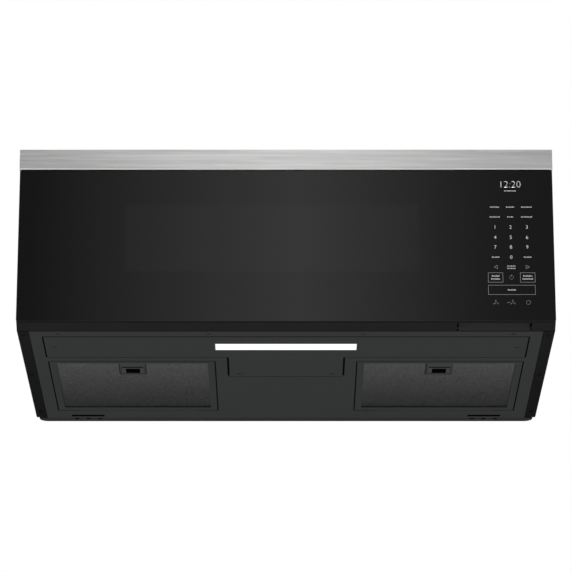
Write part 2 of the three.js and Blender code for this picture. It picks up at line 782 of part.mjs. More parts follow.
// ---------------------------------------------------------------- turntable
const trayBottom = 2 * rollerRadius + 2 * seat;
function turntableTray() {
  const r = trayRadius;
  const t = trayThickness;
  const b = trayBottom;
  const lug = couplerRadius + couplerLobe + couplerClearance;
  return turned([[0, b], [lug, b], [lug, b - 5], [lug + 4, b - 5], [lug + 4, b], [r - 14, b],
    [r - 3, b + trayRim - t + 3], [r, b + trayRim + t], [r - 3, b + trayRim + t], [r - 14, b + t],
    [0, b + t]], 24);
}

function turntableCoupler() {
  const hub = rod('z', 0, 0, couplerRadius, seat, couplerHeight, 18);
  const lobes = [0, 1, 2].map((i) => {
    const angle = i * 2 * Math.PI / 3;
    return rod('z', couplerRadius * Math.cos(angle), couplerRadius * Math.sin(angle), couplerLobe,
      2, trayBottom - seat, 10);
  });
  const spindle = rod('z', 0, 0, spindleRadius, -cavityWall - 1.2, 2, 16);
  return joined([hub, ...lobes, spindle]);
}

const rollerZ = rollerRadius + seat;
function rollerRing() {
  const inner = rollerTrack - rollerWidth / 2 - rollerGap - ringWidth;
  const outer = inner + ringWidth;
  const ring = turned([[inner, rollerZ - 3], [outer, rollerZ - 3], [outer, rollerZ + 3],
    [inner, rollerZ + 3], [inner, rollerZ - 3]], 20);
  const end = rollerTrack + rollerWidth / 2 + rollerGap;
  const axles = [0, 1, 2].map((i) => {
    const bar = rod('x', 0, rollerZ, rollerAxleRadius, inner + 1, end + 1.5, 8);
    const head = rod('x', 0, rollerZ, rollerAxleRadius + 1.4, end, end + 1.5, 8);
    return bar.add(head).rotate([0, 0, 90 + 120 * i]);
  });
  return joined([ring, ...axles]);
}

function roller() {
  const bore = rollerAxleRadius + rollerBore;
  const w = rollerWidth / 2;
  const r = rollerRadius;
  const wheel = turned([[bore, -w], [r - 1, -w], [r, -w + 1], [r, w - 1], [r - 1, w], [bore, w],
    [bore, -w]], 12);
  return wheel.rotate([0, 90, 0]);
}

function turntableMotor() {
  const top = -cavityWall - seat;
  const body = rod('z', 0, 0, trayMotorRadius, top - trayMotorHeight, top, 20);
  const seatHole = rod('z', 0, 0, spindleRadius + seat, top - 3, top + 1, 16);
  const ears = box(-trayMotorRadius - 8, trayMotorRadius + 8, -6, 6, top - 1.5, top);
  const plug = box(-9, 9, -trayMotorRadius - 6, -trayMotorRadius + 3, top - 12, top - 3);
  return joined([body, ears, plug]).subtract(seatHole);
}

// ---------------------------------------------------------------- vent blower
function outletPlan(side) {
  const half = wheelWidth / 2 + scrollSide + scrollWall;
  const front = blowerY - wheelRadius - scrollGapMax - scrollWall;
  return {
    left: side * wheelSpacing - half,
    right: side * wheelSpacing + half,
    front,
    rear: front + outletDepth,
  };
}

// Spiral from the cut-off, over the wall side, under the wheel and up the front to the outlet.
function scrollOutline(grow, top) {
  const front = -(wheelRadius + scrollGapMax + grow);
  const points = [[front, top], [front, 0]];
  const steps = 16;
  for (let i = 1; i <= steps; i += 1) {
    const share = i / steps;
    const angle = Math.PI + share * Math.PI * 1.34;
    const radius = wheelRadius + scrollGapMax + (scrollGapMin - scrollGapMax) * share + grow;
    points.push([radius * Math.cos(angle), radius * Math.sin(angle)]);
  }
  const inset = grow > 0 ? 0 : -2 * scrollWall;
  points.push([front + outletDepth + inset, wheelRadius + scrollGapMax]);
  points.push([front + outletDepth + inset, top]);
  return polygon(points);
}

function blowerScroll() {
  const half = wheelWidth / 2 + scrollSide + scrollWall;
  const top = deckTop - blowerZ;
  const outside = prism(scrollOutline(scrollWall, top), 'x', -half, half);
  const inside = prism(scrollOutline(0, top + 1), 'x', -half + scrollWall, half - scrollWall);
  const inlets = rod('x', 0, 0, scrollInlet, -half - 1, half + 1, 20);
  const footRear = backPanelFront - seat - blowerY;
  const feet = [-30, 44].map((z) => box(-12, 12, wheelRadius - 4, footRear, z, z + 6));
  const foot = box(-16, 16, footRear - 2, footRear, -30, 50);
  return cut(joined([outside, ...feet, foot]), [inside, inlets]);
}

// Squirrel-cage wheel: hub disc, two rims and forward-curved blades.
function blowerWheel() {
  const half = wheelWidth / 2;
  const rim = 2.5;
  const ringAt = (x) => rod('x', 0, 0, wheelRadius, x, x + rim, 20)
    .subtract(rod('x', 0, 0, wheelInnerRadius, x - 1, x + rim + 1, 20));
  const disc = rod('x', 0, 0, wheelInnerRadius + 2, -1, 1, 20);
  const hub = rod('x', 0, 0, hubRadius, -10, 10, 12);
  const bore = rod('x', 0, 0, shaftRadius + seat, -11, 11, 8);
  const inner = wheelInnerRadius + 0.6;
  const outer = wheelRadius - 0.5;
  const lean = 0.16;
  const outline = [];
  for (const [sideShift, order] of [[0, [0, 0.5, 1]], [bladeThickness, [1, 0.5, 0]]]) {
    for (const share of order) {
      const radius = inner + share * (outer - inner);
      const angle = lean * share * share;
      outline.push([
        radius * Math.cos(angle) - sideShift * Math.sin(angle),
        radius * Math.sin(angle) + sideShift * Math.cos(angle),
      ]);
    }
  }
  const blade = prism(polygon(outline), 'x', -half + 0.5, half - 0.5);
  const blades = Array.from({ length: bladeCount }, (_, i) => blade.rotate([360 * i / bladeCount, 0, 0]));
  return joined([disc, hub, ringAt(-half), ringAt(half - rim), ...blades]).subtract(bore);
}

function blowerShaft() {
  const end = wheelSpacing + 14;
  const motorHalf = blowerMotorLength / 2;
  const stub = (from, to) => rod('x', 0, 0, shaftRadius, from, to, 8);
  const collars = [-1, 1].map((side) => {
    const edges = [side * (wheelSpacing - 10 - seat), side * (wheelSpacing - 14)].sort((a, b) => a - b);
    return rod('x', 0, 0, shaftRadius + 2.5, edges[0], edges[1], 8);
  });
  const rotor = rod('x', 0, 0, shaftRadius + 4, -motorHalf + 8, motorHalf - 8, 8);
  return joined([stub(-end, end), rotor, ...collars]);
}

function blowerMotor() {
  const half = blowerMotorLength / 2;
  const r = blowerMotorRadius;
  const wide = shaftRadius + 4 + shaftGap;
  const narrow = shaftRadius + shaftGap;
  const can = turned([[wide, -half + 6], [narrow, -half + 6], [narrow, -half], [r * 0.5, -half],
    [r * 0.86, -half + 5], [r, -half + 13], [r, half - 13], [r * 0.86, half - 5], [r * 0.5, half],
    [narrow, half], [narrow, half - 6], [wide, half - 6], [wide, -half + 6]], 16);
  return can.rotate([0, 90, 0]);
}

function blowerCradle() {
  const inner = blowerMotorRadius + seat;
  const outer = inner + cradleWall;
  const half = cradleBand / 2;
  const rear = backPanelFront - seat - blowerY;
  const band = rod('x', 0, 0, outer, -half, half, 20);
  const webs = [-24, 20].map((z) => box(-half, half, 20, rear, z, z + 4));
  const base = box(-30, 30, rear - 2, rear, -40, 40);
  return cut(joined([band, ...webs, base]), [rod('x', 0, 0, inner + 0.5, -half - 1, half + 1, 20)]);
}

// ---------------------------------------------------------------- electronics bay
function transformer() {
  const z0 = bayFloorTop + seat;
  const x = transformerX;
  const y = transformerY;
  const core = cut(box(x - coreWidth / 2, x + coreWidth / 2, y - coreDepth / 2, y + coreDepth / 2, z0,
    z0 + coreHeight), [
    box(x - 30, x - 14, y - coreDepth, y + coreDepth, z0 + 16, z0 + coreHeight - 14),
    box(x + 14, x + 30, y - coreDepth, y + coreDepth, z0 + 16, z0 + coreHeight - 14),
  ]);
  const coils = [[z0 + 17, z0 + 36], [z0 + 40, z0 + coreHeight - 15]].map(([a, b]) => prism(
    roundedRect(x - 29, x + 29, y - coreDepth / 2 - coilDepth, y + coreDepth / 2 + coilDepth, 12),
    'z', a, b, 2));
  const feet = box(x - coreWidth / 2 - 5, x + coreWidth / 2 + 5, y - 30, y + 30, z0, z0 + 2);
  return joined([core, ...coils, feet]);
}

function capacitor() {
  const z0 = bayFloorTop + seat;
  const can = prism(roundedRect(capacitorX - capacitorWidth / 2, capacitorX + capacitorWidth / 2,
    capacitorY - capacitorDepth / 2, capacitorY + capacitorDepth / 2, capacitorDepth / 2 - 0.5),
  'z', z0, z0 + capacitorHeight, 3);
  const tabs = [-14, 14].map((x) => box(capacitorX + x - 3, capacitorX + x + 3, capacitorY - 0.5,
    capacitorY + 0.5, z0 + capacitorHeight - 1, z0 + capacitorHeight + 9));
  return joined([can, ...tabs]);
}

function powerBoard() {
  const z0 = bayFloorTop + seat + boardStandoff;
  const board = box(powerBoardLeft, powerBoardRight, powerBoardFront, powerBoardRear, z0,
    z0 + boardThickness);
  const top = z0 + boardThickness;
  const legs = [powerBoardLeft + 5, powerBoardRight - 5].flatMap((x) => [powerBoardFront + 5,
    powerBoardRear - 5].map((y) => rod('z', x, y, 3, bayFloorTop + seat, z0 + 0.5, 8)));
  const relays = [0, 1, 2].map((i) => box(powerBoardLeft + 10, powerBoardLeft + 28,
    powerBoardFront + 16 + i * 26, powerBoardFront + 38 + i * 26, top - 0.1, top + 17));
  const supply = box(powerBoardRight - 44, powerBoardRight - 8, powerBoardFront + 20,
    powerBoardFront + 58, top - 0.1, top + 26);
  const cans = [0, 1].map((i) => rod('z', powerBoardLeft + 46 + i * 20, powerBoardRear - 30, 7,
    top - 0.1, top + 20, 12));
  return joined([board, ...legs, ...relays, supply, ...cans]);
}

const fanPlate = 2;
function fanDuct() {
  const x0 = bayLeft + 4;
  const x1 = insideHalf - 6;
  const plate = box(x0, x1, fanY - fanPlate / 2, fanY + fanPlate / 2, bayFloorTop + seat,
    deckBottom - 1);
  const r = fanRadius + fanGap;
  const ring = rod('y', fanX, fanZ, r + 2, fanY - 4, fanY + fanDepth, 16);
  const hole = rod('y', fanX, fanZ, r, fanY - 5, fanY + fanDepth - 3, 16);
  const rearHole = rod('y', fanX, fanZ, r, fanY + fanDepth - 4, fanY + fanDepth + 1, 16);
  const spider = joined([
    box(fanX - r - 1, fanX + r + 1, fanY + fanDepth - 3, fanY + fanDepth, fanZ - 4, fanZ + 4),
    box(fanX - 4, fanX + 4, fanY + fanDepth - 3, fanY + fanDepth, fanZ - r - 1, fanZ + r + 1),
    rod('y', fanX, fanZ, 16, fanY + fanDepth - 3, fanY + fanDepth, 16),
  ]);
  const windows = box(x0 + 16, x1 - 16, fanY - 3, fanY + 3, bayFloorTop + 12, fanZ - r - 12);
  const bore = rod('y', fanX, fanZ, shaftRadius + 1, fanY - 6, fanY + fanDepth + 1, 12);
  return cut(cut(plate.add(ring), [hole, rearHole, windows]).add(spider), [bore]);
}

function fanMotor() {
  const y0 = fanDepth + seat;
  const y1 = y0 + fanMotorLength;
  const core = box(-26, 26, y0 + 5, y1 - 5, -26, 26);
  const bells = prism(roundedRect(-14, 14, -18, 18, 6), 'y', y0, y1, 3);
  const bore = rod('y', 0, 0, shaftRadius + shaftGap - 1, y0 - 1, y0 + 12, 12);
  return cut(core.add(bells), [bore]);
}

function fanBlade() {
  const hub = rod('y', 0, 0, fanHub, 0, 12, 16);
  const shaft = rod('y', 0, 0, shaftRadius - 1, 2, fanDepth + 10, 12);
  const blades = Array.from({ length: fanBlades }, (_, i) => {
    const blade = new THREE.BoxGeometry(fanRadius - fanHub + 3, 1.4, 22, 2, 1, 1);
    blade.translate((fanRadius + fanHub) / 2 - 2.5, 0, 0);
    const place = blade.attributes.position;
    for (let k = 0; k < place.count; k += 1) {
      const twist = THREE.MathUtils.degToRad(22 + 12 * (fanRadius - place.getX(k)) / fanRadius);
      const y = place.getY(k);
      const z = place.getZ(k);
      place.setXYZ(k, place.getX(k), y * Math.cos(twist) - z * Math.sin(twist),
        y * Math.sin(twist) + z * Math.cos(twist));
    }
    blade.translate(0, 6, 0);
    blade.rotateY(2 * Math.PI * i / fanBlades);
    return solid(blade);
  });
  const limit = rod('y', 0, 0, fanRadius, -3, fanDepth + 20, 20);
  return joined([hub, shaft, ...blades]).intersect(limit);
}

function cordGland() {
  const top = cabinetHeight - 0.4;
  const under = cabinetHeight - sheet - seat;
  const r = glandRadius;
  return turned([[r - glandWall, under - 14], [r, under - 14], [r, under - 2.5],
    [r + glandFlange, under - 2.5], [r + glandFlange, under], [r, under], [r, top], [r - glandWall, top],
    [r - glandWall, under - 14]], 16);
}

// ---------------------------------------------------------------- latch board and hinges
const latchWeb = hookX + hookThickness / 2 + latchClearance + 3;
const latchWebWall = 2.5;
function latchBoard() {
  const y0 = flangeFront;
  const low = lowerHookZ - 18;
  const high = upperHookZ + 22;
  const flange = box(hookX - 11, latchWeb + 26, y0, y0 + 2.2, low, high);
  const web = box(latchWeb, latchWeb + latchWebWall, y0, y0 + 42, low, high);
  const holes = [lowerHookZ, upperHookZ].map((z) => box(hookX - hookThickness / 2 - latchClearance,
    hookX + hookThickness / 2 + latchClearance, y0 - 1, y0 + 4,
    z - hookHeight / 2 - hookTooth - latchClearance,
    z + hookHeight / 2 + hookTravel + latchClearance));
  const gussets = [low + 2, (low + high) / 2, high - 4].map((z) => box(latchWeb, latchWeb + 22,
    y0 + 1, y0 + 14, z, z + 2));
  return cut(joined([flange, web, ...gussets]), holes);
}

function interlockSwitch() {
  const body = box(0, 6.5, 0, 16, 0, 20);
  const lever = box(1.5, 5, -2.2, 1, 2, 3);
  const arm = box(1.5, 5, -2.2, -1.6, 2, 17);
  const terminals = [4, 10, 16].map((z) => box(2.5, 4, 15, 22, z - 0.4, z + 0.4));
  return joined([body, lever, arm, ...terminals]);
}

function hingeArmZ(end) {
  return end === 'bottom' ? hingeHeight : doorTop - hingeHeight - hingeArm;
}

function hingeBracket() {
  const reach = hingeInsetX - sheet - seat;
  const rear = flangeFront - hingeY;
  const plan = new THREE.Shape();
  plan.moveTo(-reach, rear);
  plan.lineTo(-reach, 0);
  plan.absarc(0, 0, reach, Math.PI, 2 * Math.PI, false);
  plan.lineTo(reach, rear);
  const arm = prism(plan, 'z', 0, hingeArm, 6);
  const foot = box(-reach, reach + hingeFoot, rear, rear + sheet, -10, hingeArm + 10);
  const pin = rod('z', 0, 0, hingePinRadius, (hingeArm - hingePinLength) / 2,
    (hingeArm + hingePinLength) / 2, 12);
  return joined([arm, foot, pin]);
}

// ---------------------------------------------------------------- door
// The door is drawn about its hinge pin.
const dx = -hingeX;
const dy = -hingeY;

function doorGlass() {
  return moved(prism(roundedRect(-glassHalf, glassHalf, glassBottom, doorTop, 2), 'y', glassFront,
    glassBack, 3), dx, dy, 0);
}

function pullRecess() {
  const y0 = glassBack + pullFrontWall;
  const top = frameBottomRear + pullHeight;
  const outline = polygon([[pullLeft, -2], [pullRight, -2], [pullRight, top], [pullLeft + pullSlant, top],
    [pullLeft, top - pullSlant]]);
  return prism(outline, 'y', y0, y0 + pullDepth);
}

function hingeNotches() {
  return ['bottom', 'top'].map((end) => box(-halfWidth - 2, hingeX + hingeInsetX + 1.5,
    hingeY - 13, doorRear + 2, hingeArmZ(end) - 0.6, hingeArmZ(end) + hingeArm + 0.6));
}

function doorFrame() {
  const front = { half: glassHalf - 0.2, y: glassBack + seat, bottom: glassBottom - 0.4, top: doorTop };
  const back = { half: frameRearHalf, y: doorRear, bottom: frameBottomRear, top: doorTop };
  const inward = (end, wall, y) => ({
    half: end.half - wall, y, bottom: end.bottom + wall, top: end.top - wall,
  });
  const shell = drafted(front, back);
  const hollow = drafted(inward(front, frameWall, front.y + 2), inward(back, frameWall, back.y + 1));
  const window = drafted(inward(front, frameLedge, front.y - 1), inward(front, frameLedge, front.y + 4));
  const ring = cut(shell, [hollow, window]);
  const postRear = panelFront - seat;
  const postRight = hingeX + hingeInsetX + 7;
  const posts = [[front.bottom + 1, hingeHeight + 16], [doorTop - hingeHeight - 18, doorTop - 1]].map(
    ([a, b]) => box(-glassHalf + 1, postRight, front.y + 1, postRear, a, b));
  const pullTop = frameBottomRear + pullHeight + frameWall;
  const pull = box(pullLeft - frameWall, pullRight + frameWall, front.y + 1, postRear,
    glassBottom, pullTop);
  const bores = ['bottom', 'top'].map((end) => rod('z', hingeX, hingeY, hingePinRadius + hingeBore,
    hingeArmZ(end) + (hingeArm - hingePinLength) / 2 - 0.6,
    hingeArmZ(end) + (hingeArm + hingePinLength) / 2 + 0.6, 16));
  return moved(cut(joined([ring, ...posts, pull]), [pullRecess(), ...hingeNotches(), ...bores]), dx, dy, 0);
}

function ringOutline(grow) {
  return [cavityLeft - grow, cavityRight + grow, cavityBottom - grow, cavityTop + grow];
}

function ringPrism(outerGrow, innerGrow, from, to) {
  const outer = prism(roundedRect(...ringOutline(outerGrow), 5), 'y', from, to, 2);
  return outer.subtract(prism(roundedRect(...ringOutline(innerGrow), 3), 'y', from - 1, to + 1, 2));
}

function doorInnerPanel() {
  const half = glassHalf - frameWall - 1.6;
  const low = glassBottom + frameWall + 0.8;
  const plate = prism(roundedRect(-half, half, low, doorTop - frameWall - seat, 3), 'y', panelFront,
    panelRear, 2);
  const outer = chokeSetback + chokeWidth;
  const inner = chokeSetback;
  const t = chokeSheet;
  const floor = panelFront - chokeDepth;
  const channel = cut(ringPrism(outer + t, inner - t, floor, panelRear), [
    ringPrism(outer, inner, floor + t, panelRear + 1)]);
  const window = prism(roundedRect(windowLeft, windowRight, windowBottom, windowTop, 4), 'y',
    panelFront + 0.4, panelRear + 1, 3);
  const holes = [];
  const columns = 9;
  const rows = 2;
  const pitchX = (windowRight - windowLeft) / columns;
  const pitchZ = (windowTop - windowBottom) / rows;
  for (let i = 0; i < columns; i += 1) {
    for (let k = 0; k < rows; k += 1) {
      const x = windowLeft + (i + 0.5) * pitchX;
      const z = windowBottom + (k + 0.5) * pitchZ;
      holes.push(rod('y', x, z, Math.min(pitchX, pitchZ) * 0.4, panelFront - 1, panelRear, 6));
    }
  }
  const slots = [lowerHookZ, upperHookZ].map((z) => box(hookX - hookThickness / 2 - latchClearance,
    hookX + hookThickness / 2 + latchClearance, panelFront - 1, panelRear + 1,
    z - hookHeight / 2 - latchClearance, z + hookHeight / 2 + hookTravel + latchClearance));
  const open = ringPrism(outer, inner, panelFront - 1, panelRear + 1);
  const sheetBody = cut(plate, [open, window, ...slots, ...hingeNotches(), ...holes]);
  return moved(sheetBody.add(channel), dx, dy, 0);
}

function doorChokeCover() {
  const outer = chokeSetback + chokeWidth - seat;
  const inner = chokeSetback + seat;
  const flat = ringPrism(outer, inner, panelRear - 2, panelRear - 0.3);
  const key = ringPrism(outer, outer - 1.5, panelFront - chokeDepth + chokeSheet + seat, panelRear - 1);
  return moved(flat.add(key), dx, dy, 0);
}

function doorWindowPane() {
  const gap = seat + 0.2;
  return moved(prism(roundedRect(windowLeft + gap, windowRight - gap, windowBottom + gap, windowTop - gap, 4),
    'y', panelFront + 0.4 + seat, panelFront + 0.4 + seat + windowPane, 3), dx, dy, 0);
}

function touchBoard() {
  const y0 = glassBack + seat;
  const board = box(touchLeft, touchRight, y0, y0 + boardThickness, touchBottom, touchTop);
  const chip = box(touchLeft + 24, touchLeft + 40, y0 + 1, y0 + boardThickness + 2.2, 96, 112);
  const plug = box(touchLeft + 6, touchLeft + 18, y0 + 1, y0 + boardThickness + 6, 40, 62);
  return moved(joined([board, chip, plug]), dx, dy, 0);
}

function displayModule() {
  const middle = (touchLeft + touchRight) / 2;
  const y0 = glassBack + seat + boardThickness + seat;
  return moved(box(middle - displayWidth / 2, middle + displayWidth / 2, y0, y0 + 5,
    displayZ - displayHeight / 2, displayZ + displayHeight / 2), dx, dy, 0);
}

function latchHooks() {
  const x0 = hookX - hookThickness / 2;
  const x1 = hookX + hookThickness / 2;
  const barRear = panelFront - seat;
  const barFront = barRear - 7;
  const reach = cabinetFront + hookReach;
  const bar = box(x0, x1, barFront, barRear, lowerHookZ - 14, upperHookZ + 12);
  const hooks = [lowerHookZ, upperHookZ].map((z) => {
    const h = hookHeight / 2;
    const tip = polygon([[barRear - 2, z - h], [reach - 9, z - h], [reach - 7, z - h - hookTooth],
      [reach - 4, z - h - hookTooth], [reach, z - h + 2], [reach - 2, z + h], [barRear - 2, z + h]]);
    return prism(tip, 'x', x0, x1);
  });
  return moved(joined([bar, ...hooks]), dx, dy, 0);
}

// ---------------------------------------------------------------- grease filters
// Each filter is drawn about its tilt line, the lower rear edge of its frame.
function filterFrame(side) {
  const edges = [side * filterInner, side * filterOuter].sort((a, b) => a - b);
  const [x0, x1] = edges;
  const middle = (x0 + x1) / 2;
  const outer = prism(roundedRect(x0, x1, filterFront, filterRear, filterCorner), 'z', 0, filterHeight, 2);
  const opening = prism(roundedRect(x0 + filterRim, x1 - filterRim, filterFront + filterRim - 1,
    filterRear - filterRim - 2, 3), 'z', -1, filterHeight + 1, 2);
  const groove = box(x0 + filterRim - 3, x1 - filterRim + 3, filterFront + filterRim - 4,
    filterRear - filterRim + 1, 2, 2 + meshThickness);
  const half = catchWidth / 2;
  const housing = box(middle - half - 2, middle + half + 2, filterFront + 4, catchRear + 2, 0, filterHeight);
  const slide = box(middle - half - catchClearance, middle + half + catchClearance, catchFront - 1,
    catchRear, -1, catchPlate + 3.2);
  const tongue = box(middle - catchTongue / 2 - catchClearance, middle + catchTongue / 2 + catchClearance,
    filterFront - 1, catchFront, catchPlate, catchPlate + 3.2);
  const finger = box(middle - catchHoleWidth / 2, middle + catchHoleWidth / 2, catchHoleFront, catchHoleRear,
    0, filterHeight - 1.2);
  const hinges = [x0 + 30, x1 - 42].map((x) => box(x, x + 12, filterRear - 4, filterRear + 6,
    sheet + seat + 0.6, sheet + seat + 3.2));
  const ring = cut(outer, [opening, groove]);
  const body = cut(joined([ring, housing]), [slide, tongue, finger]);
  return moved(joined([body, ...hinges]), 0, -filterRear, 0);
}

function filterMesh(side) {
  const edges = [side * filterInner, side * filterOuter].sort((a, b) => a - b);
  const [x0, x1] = edges;
  const middle = (x0 + x1) / 2;
  const half = catchWidth / 2 + 2 + seat;
  const inset = filterRim - 3 + seat;
  const pad = box(x0 + inset, x1 - inset, filterFront + filterRim - 4 + seat,
    filterRear - filterRim + 1 - seat, 2 + seat, 2 + meshThickness - seat);
  const gap = box(middle - half, middle + half, filterFront, catchRear + 2 + seat, 0, filterHeight);
  return moved(pad.subtract(gap), 0, -filterRear, 0);
}

function filterCatch(side) {
  const middle = side * (filterInner + filterOuter) / 2;
  const half = catchWidth / 2;
  const z0 = 0.6;
  const plate = box(middle - half, middle + half, catchFront + catchTravel, catchRear - seat - catchTravel,
    z0, catchPlate + 2.6);
  const tongue = box(middle - catchTongue / 2, middle + catchTongue / 2, filterFront - filterGap + seat,
    catchFront + catchTravel + 1, catchPlate + seat, catchPlate + 2.6);
  const finger = box(middle - catchHoleWidth / 2 + 2, middle + catchHoleWidth / 2 - 2, catchHoleFront + 4,
    catchHoleRear - 2, -1, catchPlate + 1.2);
  return moved(cut(plate.add(tongue), [finger]), 0, -filterRear, 0);
}

// ---------------------------------------------------------------- assembly
const microwave = new THREE.Group();
const cabinet = groupAt(microwave, 0, 0, 0);
piece(cabinet, 'outer_cabinet', outerCabinet(), 'blackPaint');
piece(cabinet, 'back_panel', backPanel(), 'charcoalPaint');
piece(cabinet, 'base_pan', basePan(), 'charcoalPaint');
piece(cabinet, 'lamp_cover', lampCover(), 'charcoalPaint');
piece(cabinet, 'lamp_lens', lampLens(), 'lens');
piece(cabinet, 'lamp_housing', lampHousing(), 'whitePlastic');
piece(cabinet, 'lamp_board', lampBoard(), 'board');
piece(cabinet, 'front_plate', frontPlate(), 'enamel');
piece(cabinet, 'plenum_deck', plenumDeck(), 'galvanised');
piece(cabinet, 'bay_floor', bayFloor(), 'galvanised');
piece(cabinet, 'vent_trim', ventTrim(), 'stainless');
piece(cabinet, 'vent_grille', ventGrille(), 'blackPlastic');
piece(cabinet, 'charcoal_filter', charcoalFilter(), 'carbon');
piece(cabinet, 'cavity_liner', cavityLiner(), 'enamel');
piece(cabinet, 'waveguide_cover', waveguideCover(), 'mica');
piece(cabinet, 'waveguide', waveguide(), 'galvanised');
piece(cabinet, 'magnetron', magnetron(), 'galvanised');
piece(cabinet, 'cavity_lamp', cavityLamp(), 'whitePlastic');
piece(cabinet, 'hv_transformer', transformer(), 'darkSteel');
piece(cabinet, 'hv_capacitor', capacitor(), 'aluminium');
piece(cabinet, 'power_board', powerBoard(), 'board');
piece(cabinet, 'cooling_fan_duct', fanDuct(), 'blackPlastic');
piece(cabinet, 'cord_gland', moved(cordGland(), glandX, glandY, 0), 'blackPlastic');
piece(cabinet, 'latch_board', latchBoard(), 'whitePlastic');

const switchGroup = groupAt(cabinet, latchWeb + latchWebWall + seat, flangeFront + switchSetback, 0);
[['switch_primary', lowerHookZ], ['switch_monitor', (lowerHookZ + upperHookZ) / 2],
  ['switch_secondary', upperHookZ - switchDrop]].forEach(([name, z]) => {
  piece(switchGroup, name, interlockSwitch(), 'blackPlastic').position.z = z;
});

const fan = groupAt(cabinet, fanX, fanY, fanZ);
piece(fan, 'cooling_fan_motor', fanMotor(), 'darkSteel');
piece(fan, 'cooling_fan_blade', fanBlade(), 'blackPlastic');

const turntable = groupAt(cabinet, trayX, trayY, cavityBottom);
piece(turntable, 'turntable_motor', turntableMotor(), 'galvanised');
piece(turntable, 'turntable_coupler', turntableCoupler(), 'whitePlastic');
piece(turntable, 'turntable_tray', turntableTray(), 'clearGlass');
piece(turntable, 'roller_ring', rollerRing(), 'whitePlastic');
[1, 2, 3].forEach((number) => {
  const angle = Math.PI / 2 + (number - 1) * 2 * Math.PI / 3;
  const wheel = piece(turntable, `roller_${number}`, roller(), 'whitePlastic');
  wheel.position.set(rollerTrack * Math.cos(angle), rollerTrack * Math.sin(angle), rollerZ);
  wheel.rotation.z = angle;
});

const blower = groupAt(cabinet, 0, blowerY, blowerZ);
piece(blower, 'blower_motor', blowerMotor(), 'darkSteel');
piece(blower, 'blower_cradle', blowerCradle(), 'galvanised');
piece(blower, 'blower_shaft', blowerShaft(), 'aluminium');
[['left', -1], ['right', 1]].forEach(([name, side]) => {
  piece(blower, `blower_scroll_${name}`, blowerScroll(), 'galvanised').position.x = side * wheelSpacing;
  piece(blower, `blower_wheel_${name}`, blowerWheel(), 'galvanised').position.x = side * wheelSpacing;
});

['bottom', 'top'].forEach((end) => {
  const bracket = groupAt(cabinet, hingeX, hingeY, hingeArmZ(end));
  piece(bracket, `hinge_bracket_${end}`, hingeBracket(), 'galvanised');
});

const door = groupAt(microwave, hingeX, hingeY, 0);
piece(door, 'door_glass', doorGlass(), 'blackGlass');
piece(door, 'door_frame', doorFrame(), 'blackPlastic');
piece(door, 'door_inner_panel', doorInnerPanel(), 'blackPaint');
piece(door, 'door_choke_cover', doorChokeCover(), 'blackPlastic');
piece(door, 'door_window_pane', doorWindowPane(), 'clearGlass');
piece(door, 'touch_board', touchBoard(), 'board');
piece(door, 'display_module', displayModule(), 'blackPlastic');
piece(door, 'latch_hooks', latchHooks(), 'whitePlastic');

[['left', -1], ['right', 1]].forEach(([name, side]) => {
  const filter = groupAt(microwave, 0, filterRear, 0);
  piece(filter, `${name}_filter_frame`, filterFrame(side), 'charcoalPaint');
  piece(filter, `${name}_filter_mesh`, filterMesh(side), 'filterMesh');
  piece(filter, `${name}_filter_catch`, filterCatch(side), 'blackPlastic');
});

export default microwave;
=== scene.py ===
"""Over-the-range microwave: camera, light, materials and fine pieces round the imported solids."""

import json
import math
import random

import bmesh
import bpy
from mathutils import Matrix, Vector


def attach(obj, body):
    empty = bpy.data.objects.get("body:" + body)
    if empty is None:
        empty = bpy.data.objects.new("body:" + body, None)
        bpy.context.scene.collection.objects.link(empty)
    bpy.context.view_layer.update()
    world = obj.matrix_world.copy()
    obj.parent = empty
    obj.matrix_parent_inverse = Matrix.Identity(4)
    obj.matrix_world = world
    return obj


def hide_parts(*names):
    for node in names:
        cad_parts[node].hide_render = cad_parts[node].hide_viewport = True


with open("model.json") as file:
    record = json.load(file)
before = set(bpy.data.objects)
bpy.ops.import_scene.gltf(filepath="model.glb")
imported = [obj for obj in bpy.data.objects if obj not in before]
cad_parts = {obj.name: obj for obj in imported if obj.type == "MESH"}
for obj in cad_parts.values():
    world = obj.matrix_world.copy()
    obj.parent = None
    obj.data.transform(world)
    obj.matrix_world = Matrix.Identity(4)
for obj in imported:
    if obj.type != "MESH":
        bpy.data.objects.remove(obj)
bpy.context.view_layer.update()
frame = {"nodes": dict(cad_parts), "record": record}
MM = 0.001
BRUSH_TURN = 0.25
PATCH_BLUR = 0.2
NOISE_SPAN = (0.3, 0.7)

# ---------------------------------------------------------------- sizes, in millimetres
GLASS_Y = -230.5
GRAPHIC_THICKNESS = 0.14
WINDOW = (-227.0, 188.0, 76.5, 176.5)
FILTER_GAP = 0.9
LENS_LIT = (-100.6, 100.6, -137.2, -110.4)
FILTER_INNER, FILTER_OUTER = 103.0, 343.0
FILTER_FRONT, FILTER_REAR = -57.5, 177.8
CATCH_X = (FILTER_INNER + FILTER_OUTER) / 2
SLIDE_FRONT, SLIDE_REAR = -38.0, 6.0
COVER_HALF, COVER_FRONT, COVER_REAR = 344.0, -168.3, -76.8
TONGUE_HALF, TONGUE_REAR = 83.0, 12.7
PAD_EDGE = 8.0
HOUSING_HALF, HOUSING_REAR = 18.55, 8.1
HOLE_HALF, HOLE_FRONT, HOLE_REAR = 10.3, -22.3, -2.4


